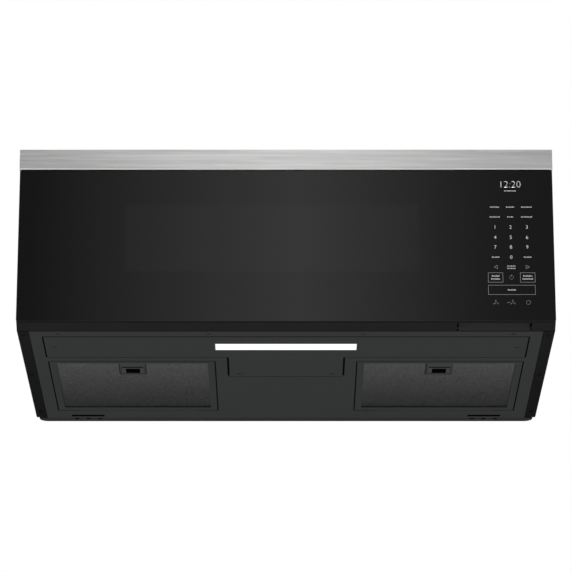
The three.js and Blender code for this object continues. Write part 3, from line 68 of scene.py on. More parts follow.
# ---------------------------------------------------------------- material tools
class Shader:
    """A Principled material with short calls for its nodes."""

    def __init__(self, name, **sockets):
        self.material = bpy.data.materials.new(name)
        self.material.use_nodes = True
        self.tree = self.material.node_tree
        self.bsdf = self.tree.nodes["Principled BSDF"]
        for key, value in sockets.items():
            self.socket(key).default_value = value
        self.place = None

    def socket(self, key):
        return self.bsdf.inputs[key.replace("_", " ")]

    def node(self, kind, inputs=None, **settings):
        made = self.tree.nodes.new("ShaderNode" + kind)
        for key, value in settings.items():
            setattr(made, key, value)
        for key, value in (inputs or {}).items():
            if isinstance(value, bpy.types.NodeSocket):
                self.tree.links.new(value, made.inputs[key])
            else:
                made.inputs[key].default_value = value
        return made

    def position(self, scale=(1, 1, 1)):
        """Places on the object in metres, stretched by scale."""
        if self.place is None:
            self.place = self.node("TexCoord").outputs["Object"]
        return self.node("Mapping", {"Vector": self.place, "Scale": scale}).outputs[0]

    def noise(self, scale, detail=2.0, stretch=(1, 1, 1), roughness=0.5):
        return self.node("TexNoise", {"Vector": self.position(stretch), "Scale": scale,
                                      "Detail": detail, "Roughness": roughness}).outputs["Fac"]

    def voronoi(self, scale, stretch=(1, 1, 1), output="Distance"):
        return self.node("TexVoronoi", {"Vector": self.position(stretch),
                                        "Scale": scale}).outputs[output]

    def spread(self, value, low, high, to_low, to_high):
        return self.node("MapRange", {"Value": value, "From Min": low, "From Max": high,
                                      "To Min": to_low, "To Max": to_high}).outputs["Result"]

    def math(self, operation, a, b=0.0):
        return self.node("Math", {0: a, 1: b}, operation=operation).outputs[0]

    def mix(self, factor, a, b):
        made = self.node("Mix", data_type="RGBA")
        for index, value in ((0, factor), (6, a), (7, b)):
            if isinstance(value, bpy.types.NodeSocket):
                self.tree.links.new(value, made.inputs[index])
            else:
                made.inputs[index].default_value = value
        return made.outputs[2]

    def inside(self, limits, soft, mirror=False):
        """1 within (low, high) millimetres on each given axis, 0 outside, blurred by soft."""
        axes = self.node("SeparateXYZ", {0: self.position()}).outputs
        mask = None
        for axis, (low, high) in limits.items():
            along = self.math("ABSOLUTE", axes[axis]) if mirror and axis == 0 else axes[axis]
            for limit, near in ((low, 0.0), (high, 1.0)):
                edge = self.spread(along, (limit - soft) * MM, (limit + soft) * MM, near, 1.0 - near)
                mask = edge if mask is None else self.math("MULTIPLY", mask, edge)
        return mask

    def near(self, x, y, radius, soft=0.15):
        """1 within radius millimetres of (+-x, y) on the bottom face, 0 elsewhere."""
        axes = self.node("SeparateXYZ", {0: self.position()}).outputs
        across = self.math("SUBTRACT", self.math("ABSOLUTE", axes[0]), x * MM)
        along = self.math("SUBTRACT", axes[1], y * MM)
        squares = self.math("ADD", self.math("MULTIPLY", across, across),
                            self.math("MULTIPLY", along, along))
        away = self.math("SQRT", squares)
        round_mask = self.spread(away, (radius - soft) * MM, (radius + soft) * MM, 1.0, 0.0)
        return self.math("MULTIPLY", round_mask, self.inside({2: (-1.0, 0.4)}, 0.1))

    def patched(self, colour, patches):
        """The colour with boxes of another tone, on both sides of X 0; the callers' boxes are painted
        shade and painted light.
        """
        for limits, shade in patches:
            colour = self.mix(self.inside(limits, PATCH_BLUR, mirror=True), colour, shade)
        return colour

    def feed(self, key, value):
        self.tree.links.new(value, self.socket(key))

    def rough(self, driver, low, high):
        """Roughness from low to high over the usual span of a noise."""
        self.feed("Roughness", self.spread(driver, *NOISE_SPAN, low, high))

    def bump(self, *layers):
        """Stacks (height, distance in metres) layers of bump."""
        normal = None
        for height, distance in layers:
            inputs = {"Height": height, "Distance": distance, "Strength": 1.0}
            if normal is not None:
                inputs["Normal"] = normal
            normal = self.node("Bump", inputs).outputs["Normal"]
        self.feed("Normal", normal)


def grey(value, tint=(1, 1, 1)):
    return tuple(value * t for t in tint) + (1.0,)


def shaded(colour, factor):
    return tuple(c * factor for c in colour[:3]) + (1.0,)


# Near black for painted shade in gaps, slots and wells.
PAINTED_SHADE_BLACK = grey(0.0006)
CHARCOAL_TINT = (0.97, 1.03, 1.01)
CHARCOAL = grey(0.0303, CHARCOAL_TINT)
MESH_GREY = grey(0.043)
HEAD_TONES = (0.45, 0.7, 0.15)
FLANGE_HEAD_TONES = (0.1, 0.1, 0.1)
HEAD_RING, HEAD_RADIUS, HEAD_RECESS = 3.6, 2.9, 1.1
DUST = 0.12


def painted(name, colour, roughness, specular, texture=900.0, relief=0.00006, patches=(), heads=(),
            head_tones=HEAD_TONES):
    """Powder coat: fine orange peel and a little tone drift, with boxes of painted shade and painted
    light, and screw heads drawn in the paint whose dark ring and recess are painted shade.
    """
    s = Shader(name, Specular_IOR_Level=specular)
    drift = s.noise(9.0, 4.0)
    grain = s.noise(texture, 3.0)
    tone = s.math("ADD", s.math("MULTIPLY", grain, 0.5), s.math("MULTIPLY", drift, 0.5))
    coat = s.mix(tone, shaded(colour, 1 - DUST), shaded(colour, 1 + DUST))
    coat = s.patched(coat, patches)
    # Each screw head is three darker discs: the head's own tone, and an outer ring and recess that are
    # painted shade where the gap round a flush head and its cross recess would lie in shade.
    for x, y in heads:
        for radius, share in zip((HEAD_RING, HEAD_RADIUS, HEAD_RECESS), head_tones):
            coat = s.mix(s.near(x, y, radius), coat, shaded(colour, share))
    s.feed("Base Color", coat)
    s.rough(drift, roughness - 0.05, roughness + 0.06)
    s.bump((grain, relief))
    return s.material


def moulded(name, colour, roughness, specular=0.4):
    """Moulded plastic with a fine spark texture."""
    s = Shader(name, Specular_IOR_Level=specular)
    spark = s.voronoi(1500.0)
    drift = s.noise(14.0, 3.0)
    s.feed("Base Color", s.mix(drift, shaded(colour, 0.93), colour))
    s.rough(drift, roughness - 0.05, roughness + 0.05)
    s.bump((spark, 0.00003))
    return s.material


def brushed(name, colour, roughness, streak, anisotropic):
    """Brushed metal: streaks along X drawn out by the stretch of the noise."""
    s = Shader(name, Metallic=1.0, Anisotropic=anisotropic, Anisotropic_Rotation=BRUSH_TURN)
    fine = s.noise(1.0, 3.0, (14, 2600, 2600))
    wide = s.noise(1.0, 2.0, (5, 520, 520))
    broad = s.noise(1.0, 2.0, (9, 190, 190))
    tone = s.math("ADD", s.math("MULTIPLY", fine, 0.3), s.math("MULTIPLY", wide, 0.35))
    tone = s.spread(s.math("ADD", tone, s.math("MULTIPLY", broad, 0.35)), 0.38, 0.62, 0.0, 1.0)
    s.feed("Base Color", s.mix(tone, shaded(colour, 1 - streak), colour))
    s.rough(fine, roughness - 0.03, roughness + 0.04)
    s.feed("Tangent", s.node("Tangent", direction_type="RADIAL", axis="Z").outputs[0])
    s.bump((fine, 0.000002))
    return s.material


def galvanised(name):
    s = Shader(name, Metallic=0.9)
    spangle = s.voronoi(55.0, output="Color")
    tone = s.node("SeparateColor", {0: spangle}).outputs[0]
    s.feed("Base Color", s.mix(tone, grey(0.36), grey(0.5, (0.98, 1, 1.02))))
    s.feed("Roughness", s.spread(tone, 0, 1, 0.36, 0.52))
    s.bump((s.noise(300.0), 0.00002))
    return s.material


def plain_metal(name, value, roughness):
    s = Shader(name, Metallic=0.9)
    grain = s.noise(500.0, 3.0)
    s.feed("Base Color", s.mix(grain, grey(value * 0.85), grey(value * 1.1)))
    s.rough(grain, roughness - 0.06, roughness + 0.06)
    s.bump((grain, 0.00002))
    return s.material


def laminated(name):
    """Stacked steel sheets, as in a transformer or a motor core."""
    s = Shader(name, Metallic=0.6)
    lines = s.node("TexWave", {"Vector": s.position(), "Scale": 320.0}, bands_direction="Y").outputs[1]
    s.feed("Base Color", s.mix(lines, grey(0.05), grey(0.13)))
    s.socket("Roughness").default_value = 0.5
    s.bump((lines, 0.0001))
    return s.material


def enamel(name):
    s = Shader(name, Roughness=0.3)
    speck = s.voronoi(900.0)
    dots = s.spread(speck, 0.12, 0.2, 1.0, 0.0)
    s.feed("Base Color", s.mix(dots, grey(0.46), grey(0.2)))
    s.bump((s.noise(240.0, 2.0), 0.00003))
    return s.material


def clear_glass(name, tint):
    s = Shader(name, Transmission_Weight=1.0, IOR=1.5, Base_Color=tint)
    smear = s.noise(30.0, 3.0)
    s.feed("Roughness", s.spread(smear, 0.3, 0.8, 0.01, 0.05))
    return s.material


def circuit(name):
    s = Shader(name, Specular_IOR_Level=0.5)
    tracks = s.node("TexBrick", {"Vector": s.position((1, 1, 1)), "Scale": 120.0,
                                 "Mortar Size": 0.08}).outputs["Fac"]
    pads = s.spread(s.voronoi(260.0), 0.1, 0.14, 1.0, 0.0)
    green = s.mix(tracks, grey(1, (0.012, 0.075, 0.03)), grey(1, (0.03, 0.14, 0.06)))
    s.feed("Base Color", s.mix(pads, green, grey(0.5, (1, 0.98, 0.9))))
    s.socket("Roughness").default_value = 0.42
    return s.material


def carbon_grain(name):
    s = Shader(name, Roughness=0.8)
    cells = s.voronoi(700.0)
    s.feed("Base Color", s.mix(cells, grey(0.035), grey(0.008)))
    s.bump((cells, 0.0006))
    return s.material


def mica(name):
    s = Shader(name, Specular_IOR_Level=0.5, Roughness=0.45)
    flakes = s.voronoi(260.0, output="Color")
    tone = s.node("SeparateColor", {0: flakes}).outputs[0]
    s.feed("Base Color", s.mix(tone, grey(1, (0.26, 0.22, 0.16)), grey(1, (0.42, 0.37, 0.28))))
    return s.material


def front_glass(name):
    """Black printed glass with ground edges; the window's dot print is a little lighter."""
    s = Shader(name, IOR=1.5)
    inside = s.inside({0: WINDOW[:2], 2: WINDOW[2:]}, 0.6)
    dots = s.spread(s.voronoi(900.0, (1, 0.001, 1)), 0.25, 0.4, 1.0, 0.55)
    ground = s.inside({1: (GLASS_Y + 0.4, 0.0)}, 0.1)
    printed = s.mix(s.math("MULTIPLY", inside, dots), grey(0.0045), grey(0.0085))
    s.feed("Base Color", s.mix(ground, printed, grey(0.004)))
    smear = s.noise(6.0, 3.0)
    polish = s.spread(smear, *NOISE_SPAN, 0.03, 0.06)
    s.feed("Roughness", s.math("MAXIMUM", polish, s.math("MULTIPLY", ground, 0.7)))
    s.feed("Specular IOR Level", s.spread(ground, 0.0, 1.0, 0.5, 0.02))
    return s.material


def glowing(name, colour, strength):
    s = Shader(name, Roughness=0.4, Base_Color=colour, Emission_Color=colour,
               Emission_Strength=strength)
    return s.material


def lens_diffuser(name):
    """Lit diffuser: fine ribs across a white glow, inside a dark printed edge."""
    s = Shader(name, Roughness=0.35, Emission_Strength=0.85)
    ribs = s.node("TexWave", {"Vector": s.position(), "Scale": 160.0}, bands_direction="X").outputs[1]
    lit = s.inside({0: LENS_LIT[:2], 1: LENS_LIT[2:]}, 0.35)
    s.feed("Base Color", s.mix(lit, grey(0.03), grey(0.3)))
    s.feed("Emission Color", s.mix(lit, grey(0.0), s.mix(ribs, grey(1.0), grey(0.9))))
    s.bump((ribs, 0.00004))
    return s.material


def mesh_metal(name, value, roughness):
    """Dull aluminium wire with the patchy tone of layered mesh."""
    s = Shader(name, Metallic=1.0)
    fine = s.noise(700.0, 3.0)
    patches = s.noise(1.0, 3.0, (210, 110, 110), 0.65)
    mixed = s.math("ADD", s.math("MULTIPLY", fine, 0.3), s.spread(patches, *NOISE_SPAN, 0.0, 0.7))
    s.feed("Base Color", s.mix(mixed, grey(value * 0.72), grey(value * 1.28)))
    s.rough(fine, roughness - 0.05, roughness + 0.08)
    return s.material


looks = {
    "black_paint": painted("black_powder_coat", grey(0.0032), 0.45, 0.01),
    "charcoal_paint": painted("charcoal_powder_coat", CHARCOAL, 0.5, 0.01),
    "stainless": brushed("brushed_stainless", grey(0.93, (1.0, 0.996, 0.99)), 0.3, 0.24, 0.9),
    "galvanised": galvanised("galvanised_sheet"),
    "enamel": enamel("oven_enamel"),
    "black_glass": front_glass("black_glass"),
    "clear_glass": clear_glass("clear_glass", grey(0.95, (0.97, 1, 0.99))),
    "black_plastic": moulded("black_plastic", grey(0.0072), 0.5, 0.018),
    "white_plastic": moulded("white_plastic", grey(0.76, (1, 1, 0.96)), 0.4),
    "lens": lens_diffuser("lit_diffuser"),
    "filter_mesh": mesh_metal("expanded_aluminium", 0.12, 0.3),
    "aluminium": plain_metal("aluminium", 0.58, 0.35),
    "board": circuit("circuit_board"),
    "dark_steel": laminated("laminated_steel"),
    "mica": mica("mica_sheet"),
    "carbon": carbon_grain("carbon_granules"),
}
# The key print glows a little: painted light, as the print is no lamp; only the clock's figures are a
# lit display.
print_white_painted_glow = glowing("digit_print_painted_glow", grey(0.52), 0.24)
print_grey_painted_glow = glowing("word_print_painted_glow", grey(0.42), 0.18)
print_line_painted_glow = glowing("line_print_painted_glow", grey(0.22), 0.075)
clock_glow = glowing("clock_digits", grey(0.8, (0.97, 1.0, 1.0)), 0.72)
# Near black for the strips put in the gaps round the lamp cover and beside the filters: painted shade.
gap_shade_black = painted("gap_shade_black", grey(0.002), 0.9, 0.0, texture=1400.0, relief=0.0003)
pad_backing = painted("filter_pad_depth", grey(0.012), 0.7, 0.05, texture=1500.0, relief=0.0004)
screen_paint = painted("screen_black", grey(0.02), 0.4, 0.3)

# ---------------------------------------------------------------- looks of single nodes
ALL_X = (-1.0, COVER_HALF + 1.4)
HOLDER_HALF = HOUSING_HALF + 0.05
# Black bands along the gaps round the lamp cover, its tongue and the filter openings: painted shade
# between parts.
painted_seam_shades = [(limits, PAINTED_SHADE_BLACK) for limits in (
    {0: ALL_X, 1: (COVER_FRONT - 1.3, COVER_FRONT + 0.2)},
    {0: (COVER_HALF - 0.5, COVER_HALF + 1.8), 1: (COVER_FRONT - 0.2, COVER_REAR - 1.2)},
    {0: (TONGUE_HALF - 0.6, TONGUE_HALF + 2.4), 1: (COVER_REAR + 1.8, TONGUE_REAR - 6.7)},
    {0: (FILTER_INNER - 1.3, FILTER_INNER + 0.5), 1: (FILTER_FRONT + 0.5, FILTER_REAR - 0.3)},
    {0: (FILTER_OUTER - 0.5, FILTER_OUTER + 1.4), 1: (FILTER_FRONT + 0.5, FILTER_REAR - 0.3)})]
# Grey bands widen the dark at the cover's front edge and at the filter openings' front and rear edges,
# and a black box lies near the rear at X 275.5 to 325 mm: all painted shade.
rear_seam = (FILTER_REAR - 0.9, FILTER_REAR + 1.8)
soft_painted_shades = [({0: ALL_X, 1: (COVER_FRONT - 3.9, COVER_FRONT + 1.9)}, grey(0.02)),
              ({0: (FILTER_INNER - 1, FILTER_OUTER + 1), 1: (FILTER_FRONT - 3.1, FILTER_FRONT + 1.1)},
               grey(0.019)),
              ({0: (FILTER_INNER - 1, FILTER_INNER + 31), 1: rear_seam}, grey(0.012)),
              ({0: (FILTER_OUTER - 31, FILTER_OUTER + 1), 1: rear_seam}, grey(0.012)),
              ({0: (275.5, 325.0), 1: (200.6, 208.8)}, PAINTED_SHADE_BLACK)]
# Lighter grey on the filter frame's rear inner wall: painted light on a wall that the lamps leave in
# shade.
rear_wall_painted_light = ({0: (112.0, 334.0), 1: (165.2, 165.9), 2: (0.2, 3.0)}, grey(0.055))
# Mesh grey on the frame round the catch's holder, as the holder shows the mesh's grey; reaching 3 mm up
# the side walls, the patch is also painted light against their shade.
catch_holder = ({0: (CATCH_X - HOLDER_HALF, CATCH_X + HOLDER_HALF), 1: (-48.2, HOUSING_REAR),
                 2: (-1.0, 3.0)}, MESH_GREY)
# Black in the catch's finger well: painted shade in the recess.
finger_well_shade = ({0: (CATCH_X - HOLE_HALF, CATCH_X + HOLE_HALF), 1: (HOLE_FRONT, HOLE_REAR - 0.2)},
               PAINTED_SHADE_BLACK)
# Screw heads drawn in the paint of the pan and the cabinet's flanges; their dark rings and recesses are
# painted shade.
pan_heads = [(109.0, -181.0), (321.6, -181.0), (330.0, -121.4), (68.0, 0.0)]
flange_heads = [(371.0, y) for y in (-175.8, 3.2, 183.1)]

# The back panel gets a darker copy of the charcoal: painted shade, as its faces stand in shade.
rear_panel_shaded_look = painted("charcoal_rear_panel_painted_shade", grey(0.0232, CHARCOAL_TINT), 0.5, 0.01)
# The pan's and the filter frames' charcoal carries the painted shade bands above; the frames also carry
# the painted light on their rear wall.
pan_look = painted("charcoal_pan", CHARCOAL, 0.5, 0.01, patches=soft_painted_shades + painted_seam_shades,
                   heads=pan_heads)
frame_look = painted("charcoal_filter_frame", CHARCOAL, 0.5, 0.01,
                     patches=[catch_holder, rear_wall_painted_light] + soft_painted_shades + painted_seam_shades)
cabinet_look = painted("black_cabinet", grey(0.0064), 0.45, 0.01, heads=flange_heads,
                       head_tones=FLANGE_HEAD_TONES)
# Near black for the boxes of painted shade in each catch's slot and finger well.
painted_shade_pieces = painted("painted_shade_pieces", grey(0.001), 0.8, 0.0)
lip_grey = painted("catch_lip", MESH_GREY, 0.5, 0.02)
catch_look = painted("catch_grey", MESH_GREY, 0.5, 0.02, patches=[finger_well_shade])
# Lighter grey for the ramp in the door's pull: painted light in a recess that lies in shade.
pull_painted_light = moulded("pull_painted_light", grey(0.036), 0.5, 0.02)
node_looks = {"base_pan": pan_look, "lamp_cover": pan_look, "left_filter_frame": frame_look,
              "right_filter_frame": frame_look, "left_filter_catch": catch_look,
              "right_filter_catch": catch_look, "outer_cabinet": cabinet_look,
              "back_panel": rear_panel_shaded_look}

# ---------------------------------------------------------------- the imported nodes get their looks
SMOOTH_ANGLE = math.radians(35)
EDGE_WIDTHS = {"vent_trim": 0.35, "outer_cabinet": 0.35, "door_frame": 0.5, "back_panel": 0.35,
               "lamp_cover": 0.3, "base_pan": 0.3, "left_filter_frame": 0.2, "right_filter_frame": 0.2,
               "left_filter_catch": 0.35, "right_filter_catch": 0.35, "door_glass": 0.5,
               "front_plate": 0.3, "vent_grille": 0.3, "latch_hooks": 0.4, "cavity_liner": 0.3}


def soften(piece, width):
    """Rounds hard edges a little and shades the facets of round forms smoothly."""
    piece.modifiers.new("weld", "WELD").merge_threshold = 0.000001
    if width:
        bevel = piece.modifiers.new("edges", "BEVEL")
        bevel.width = width * MM
        bevel.segments = 2
        bevel.limit_method = "ANGLE"
        bevel.angle_limit = SMOOTH_ANGLE
        bevel.use_clamp_overlap = True
    piece.data.shade_smooth()
    weighted = piece.modifiers.new("normals", "WEIGHTED_NORMAL")
    weighted.weight = 60
    weighted.keep_sharp = True


slots = {row["node"]: row["material_slot"] for row in frame["record"]["subparts"]}
for node_name, node in frame["nodes"].items():
    node.data.materials.clear()
    node.data.materials.append(node_looks.get(node_name, looks[slots[node_name]]))
    soften(node, EDGE_WIDTHS.get(node_name, 0.15))


# ---------------------------------------------------------------- mesh tools
CORNER_STEPS = 3


class Form:
    """Collects corners and faces in millimetres and makes one piece of them."""

    def __init__(self):
        self.corners = []
        self.faces = []

    def add(self, corners, faces):
        start = len(self.corners)
        self.corners.extend(corners)
        self.faces.extend([[start + i for i in face] for face in faces])

    def loops(self, rings):
        """Joins closed rings of equal length with quads and caps both ends."""
        count = len(rings[0])
        faces = []
        for r in range(len(rings) - 1):
            for i in range(count):
                j = (i + 1) % count
                faces.append([r * count + i, r * count + j, (r + 1) * count + j, (r + 1) * count + i])
        faces.append(list(range(count))[::-1])
        faces.append([(len(rings) - 1) * count + i for i in range(count)])
        self.add([point for ring in rings for point in ring], faces)

    def slab(self, outline, y0, y1):
        """A flat outline in (x, z) pushed along Y, with its front at y0."""
        self.loops([[(x, y0, z) for x, z in outline], [(x, y1, z) for x, z in outline]])

    def piece(self, name, look, body, slot, smooth=True):
        mesh = bpy.data.meshes.new(name)
        mesh.from_pydata([(x * MM, y * MM, z * MM) for x, y, z in self.corners], [], self.faces)
        mesh.validate()
        mesh.materials.append(look)
        made = bpy.data.objects.new(name, mesh)
        bpy.context.scene.collection.objects.link(made)
        turn_faces_out(mesh)
        if smooth:
            mesh.shade_smooth()
            mesh.set_sharp_from_angle(angle=SMOOTH_ANGLE)
        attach(made, body)
        return made


def turn_faces_out(mesh):
    work = bmesh.new()
    work.from_mesh(mesh)
    bmesh.ops.recalc_face_normals(work, faces=work.faces)
    work.to_mesh(mesh)
    work.free()


def round_outline(x0, x1, z0, z1, radius):
    """A rectangle in (x, z) with rounded corners."""
    points = []
    for cx, cz, start in ((x1 - radius, z0 + radius, -90), (x1 - radius, z1 - radius, 0),
                          (x0 + radius, z1 - radius, 90), (x0 + radius, z0 + radius, 180)):
        for i in range(CORNER_STEPS + 1):
            turn = math.radians(start + 90 * i / CORNER_STEPS)
            points.append((cx + radius * math.cos(turn), cz + radius * math.sin(turn)))
    return points


# ---------------------------------------------------------------- key graphics on the glass
PRINT_FRONT = GLASS_Y - GRAPHIC_THICKNESS
PRINT_BACK = GLASS_Y + 0.05
BAR_ROUND = 0.3


def bar(form, x, z, width, height):
    """A small block centred on (x, z) with rounded corners."""
    radius = min(width, height) * BAR_ROUND
    form.slab(round_outline(x - width / 2, x + width / 2, z - height / 2, z + height / 2, radius),
              PRINT_FRONT, PRINT_BACK)


def frame_outline(form, x0, x1, z0, z1, line):
    """A thin open rectangle drawn as four strips."""
    for a, b, c, d in ((x0, x1, z0, z0 + line), (x0, x1, z1 - line, z1),
                       (x0, x0 + line, z0 + line, z1 - line), (x1 - line, x1, z0 + line, z1 - line)):
        form.slab([(a, c), (b, c), (b, d), (a, d)], PRINT_FRONT, PRINT_BACK)


def stroke(form, points, line):
    """A thin line through points in (x, z)."""
    for (x0, z0), (x1, z1) in zip(points, points[1:]):
        length = math.hypot(x1 - x0, z1 - z0) or 1
        ux, uz = (x1 - x0) / length, (z1 - z0) / length
        nx, nz = -uz * line / 2, ux * line / 2
        ex, ez = ux * line / 2, uz * line / 2
        form.slab([(x0 - ex - nx, z0 - ez - nz), (x1 + ex - nx, z1 + ez - nz),
                   (x1 + ex + nx, z1 + ez + nz), (x0 - ex + nx, z0 - ez + nz)], PRINT_FRONT, PRINT_BACK)


def digit_mesh(form, text, x, z, height, thin):
    """A number from the built-in typeface, as closed thin letters centred on (x, z)."""
    curve = bpy.data.curves.new("digit_curve", "FONT")
    curve.body = text
    curve.size = 1.0
    curve.resolution_u = 3
    curve.extrude = 0.5
    curve.offset = thin
    holder = bpy.data.objects.new("digit_holder", curve)
    bpy.context.scene.collection.objects.link(holder)
    bpy.context.view_layer.update()
    mesh = holder.to_mesh()
    xs = [v.co.x for v in mesh.vertices]
    ys = [v.co.y for v in mesh.vertices]
    scale = height / (max(ys) - min(ys))
    mid_x, mid_y = (max(xs) + min(xs)) / 2, (max(ys) + min(ys)) / 2
    depth = PRINT_BACK - PRINT_FRONT
    corners = [(x + (v.co.x - mid_x) * scale, PRINT_FRONT + (0.5 - v.co.z) * depth,
                z + (v.co.y - mid_y) * scale) for v in mesh.vertices]
    form.add(corners, [list(p.vertices) for p in mesh.polygons])
    holder.to_mesh_clear()
    bpy.data.objects.remove(holder)
    bpy.data.curves.remove(curve)


KEY_X = (295.0, 317.0, 340.0)
WORD_ROWS = ((173.1, (13.4, 12.0, 15.4)), (158.2, (14.6, 9.0, 16.0)))
DIGIT_ROWS = (142.8, 127.4, 112.8)
DIGIT_HEIGHT = 5.0
ZERO_ROW, ARROW_ROW, BOX_ROW, START_ROW, ICON_ROW = 97.7, 82.7, 67.2, 48.8, 30.0
BOX_LINE, ICON_LINE = 0.45, 0.42
KEY_BOXES = ((283.9, 304.9, 59.9, 74.5), (329.0, 350.1, 59.9, 74.5), (283.8, 350.0, 41.6, 55.9))
BOX_WORDS = ((294.4, 11.0), (339.6, 13.0))
BOX_WORD_LINES, BOX_WORD_HEIGHT = ((2.4, 0.0), (-2.0, 2.0)), 2.3
ZERO_WORD, START_WORD, START_HEIGHT = 11.0, 12.0, 2.1
MIDDLE_ROWS, MIDDLE_WORD, MIDDLE_HEIGHT = (84.4, 80.9), 12.0, 1.7
WORD_HEIGHT, BLOCK_PITCH, BLOCK_SHARE, LOW_SHARE = 1.9, 1.7, 0.62, 0.72
ARROW_REACH, ARROW_RISE = 2.4, 2.6
POWER_X, POWER_Z, POWER_RADIUS, POWER_STEM = 316.8, 67.4, 2.9, (71.6, 68.2)
ICONS = ((294.2, 3), (317.9, 3), (339.7, 0))
POWER_ARC, FULL_CIRCLE = (120, 420, 20), (0, 360, 30)
SLASH = ((310.2, -0.6), (313.6, 0.8))
HUB_RADIUS, BULB_RADIUS = 1.2, 3.0
BLADE_REACH, BLADE_CURL, TIP_REACH, TIP_CURL = 3.4, 1.0, 3.6, 0.8
DIGIT_THIN = -0.01
CLOCK_TEXT, CLOCK_X, CLOCK_Z, CLOCK_HEIGHT, CLOCK_THIN = "12:20", 318.5, 207.3, 9.6, -0.034
CLOCK_LINE = (317.6, 197.5, 17.0, 0.7)


def word(form, x, z, width, height=WORD_HEIGHT):
    """A key's name, kept as a row of small blocks of uneven height."""
    count = max(3, round(width / BLOCK_PITCH))
    pitch = width / count
    for i in range(count):
        tall = height if i % 5 in (0, 3) else height * LOW_SHARE
        bar(form, x - width / 2 + (i + 0.5) * pitch, z - (height - tall) / 2, pitch * BLOCK_SHARE, tall)


def ring(form, x, z, radius, arc):
    """A thin arc, given as its first and last angle and its step in degrees."""
    first, last, step = arc
    turns = [math.radians(turn) for turn in range(first, last + 1, step)]
    stroke(form, [(x + radius * math.cos(turn), z + radius * math.sin(turn)) for turn in turns],
           ICON_LINE)


words = Form()
for z, widths in WORD_ROWS:
    for x, width in zip(KEY_X, widths):
        word(words, x, z, width)
for x in (KEY_X[0], KEY_X[2]):
    word(words, x, ZERO_ROW, ZERO_WORD)
for z in MIDDLE_ROWS:
    word(words, KEY_X[1], z, MIDDLE_WORD, MIDDLE_HEIGHT)
for x, width in BOX_WORDS:
    for rise, wider in BOX_WORD_LINES:
        word(words, x, BOX_ROW + rise, width + wider, BOX_WORD_HEIGHT)
word(words, KEY_X[1], START_ROW, START_WORD, START_HEIGHT)
words.piece("key_words", print_grey_painted_glow, "door", "white_plastic", smooth=False)

digits = Form()
for row, z in enumerate(DIGIT_ROWS):
    for column, x in enumerate(KEY_X):
        digit_mesh(digits, str(1 + row * 3 + column), x, z, DIGIT_HEIGHT, DIGIT_THIN)
digit_mesh(digits, "0", KEY_X[1], ZERO_ROW, DIGIT_HEIGHT, DIGIT_THIN)
digits.piece("key_digits", print_white_painted_glow, "door", "white_plastic", smooth=False)

icons = Form()
for x, point in ((KEY_X[0], -ARROW_REACH), (KEY_X[2], ARROW_REACH)):
    stroke(icons, [(x - point, ARROW_ROW + ARROW_RISE), (x + point, ARROW_ROW),
                   (x - point, ARROW_ROW - ARROW_RISE), (x - point, ARROW_ROW + ARROW_RISE)], BOX_LINE)
for box in KEY_BOXES:
    frame_outline(icons, *box, BOX_LINE)
ring(icons, POWER_X, POWER_Z, POWER_RADIUS, POWER_ARC)
stroke(icons, [(POWER_X, z) for z in POWER_STEM], ICON_LINE)
for x, blades in ICONS:
    ring(icons, x, ICON_ROW, HUB_RADIUS if blades else BULB_RADIUS, FULL_CIRCLE)
    for i in range(blades):
        turn = math.radians(90 + 120 * i)
        ux, uz = math.cos(turn), math.sin(turn)
        stroke(icons, [(x + out * ux - curl * uz, ICON_ROW + out * uz + curl * ux)
                       for out, curl in ((HUB_RADIUS, 0.0), (BLADE_REACH, BLADE_CURL),
                                         (TIP_REACH, -TIP_CURL))], ICON_LINE)
stroke(icons, [(x, ICON_ROW + rise) for x, rise in SLASH], ICON_LINE)
icons.piece("key_icons", print_line_painted_glow, "door", "white_plastic", smooth=False)

clock = Form()
digit_mesh(clock, CLOCK_TEXT, CLOCK_X, CLOCK_Z, CLOCK_HEIGHT, CLOCK_THIN)
word(clock, *CLOCK_LINE)
clock.piece("clock_figures", clock_glow, "door", "lens", smooth=False)

# ---------------------------------------------------------------- grease filter pads
CELL_WIDTH, CELL_HEIGHT = 3.6, 2.5
STRAND, STRAND_THICK, STRAND_TILT = 0.66, 0.3, 0.06
PEAK_SHARE = 0.46
PAD_FACE = 2.35
DEPTH_NEAR, DEPTH_CRUMPLE, DEPTH_THICK = 3.1, 0.35, 0.3
DEPTH_STEPS_X, DEPTH_STEPS_Y = 60, 56
DEPTH_SEED = 4
PAD_FRONT, PAD_REAR = FILTER_FRONT + 7.0, FILTER_REAR - 10.0


def strand(form, line):
    """One tilted flat strip along points in (x, y)."""
    low, high = PAD_FACE, PAD_FACE + STRAND_THICK
    form.loops([[(x, y - STRAND / 2, low + STRAND_TILT), (x, y + STRAND / 2, low - STRAND_TILT),
                 (x, y + STRAND / 2, high - STRAND_TILT), (x, y - STRAND / 2, high + STRAND_TILT)]
                for x, y in line])


def in_window(x, y, side):
    """Whether (x, y) lies in the gap round the catch's housing."""
    return abs(x - side * CATCH_X) < HOUSING_HALF and y < HOUSING_REAR


def pad_span(side):
    return sorted((side * (FILTER_INNER + PAD_EDGE), side * (FILTER_OUTER - PAD_EDGE)))


def expanded_metal(side):
    """Zigzag strands that meet at their peaks and stop at the catch's window."""
    x0, x1 = pad_span(side)
    form = Form()
    columns = int((x1 - x0) / (CELL_WIDTH / 2))
    rows = int((PAD_REAR - PAD_FRONT) / CELL_HEIGHT)
    for row in range(rows):
        zigzag = 1 if row % 2 else -1
        runs = [[]]
        for i in range(columns + 1):
            x = x0 + i * CELL_WIDTH / 2
            rise = zigzag * (1 if i % 2 else -1) * CELL_HEIGHT * PEAK_SHARE
            y = PAD_FRONT + (row + 0.5) * CELL_HEIGHT + rise
            if in_window(x, y, side):
                runs.append([])
            else:
                runs[-1].append((x, y))
        for run in runs:
            if len(run) > 1:
                strand(form, run)
    return form


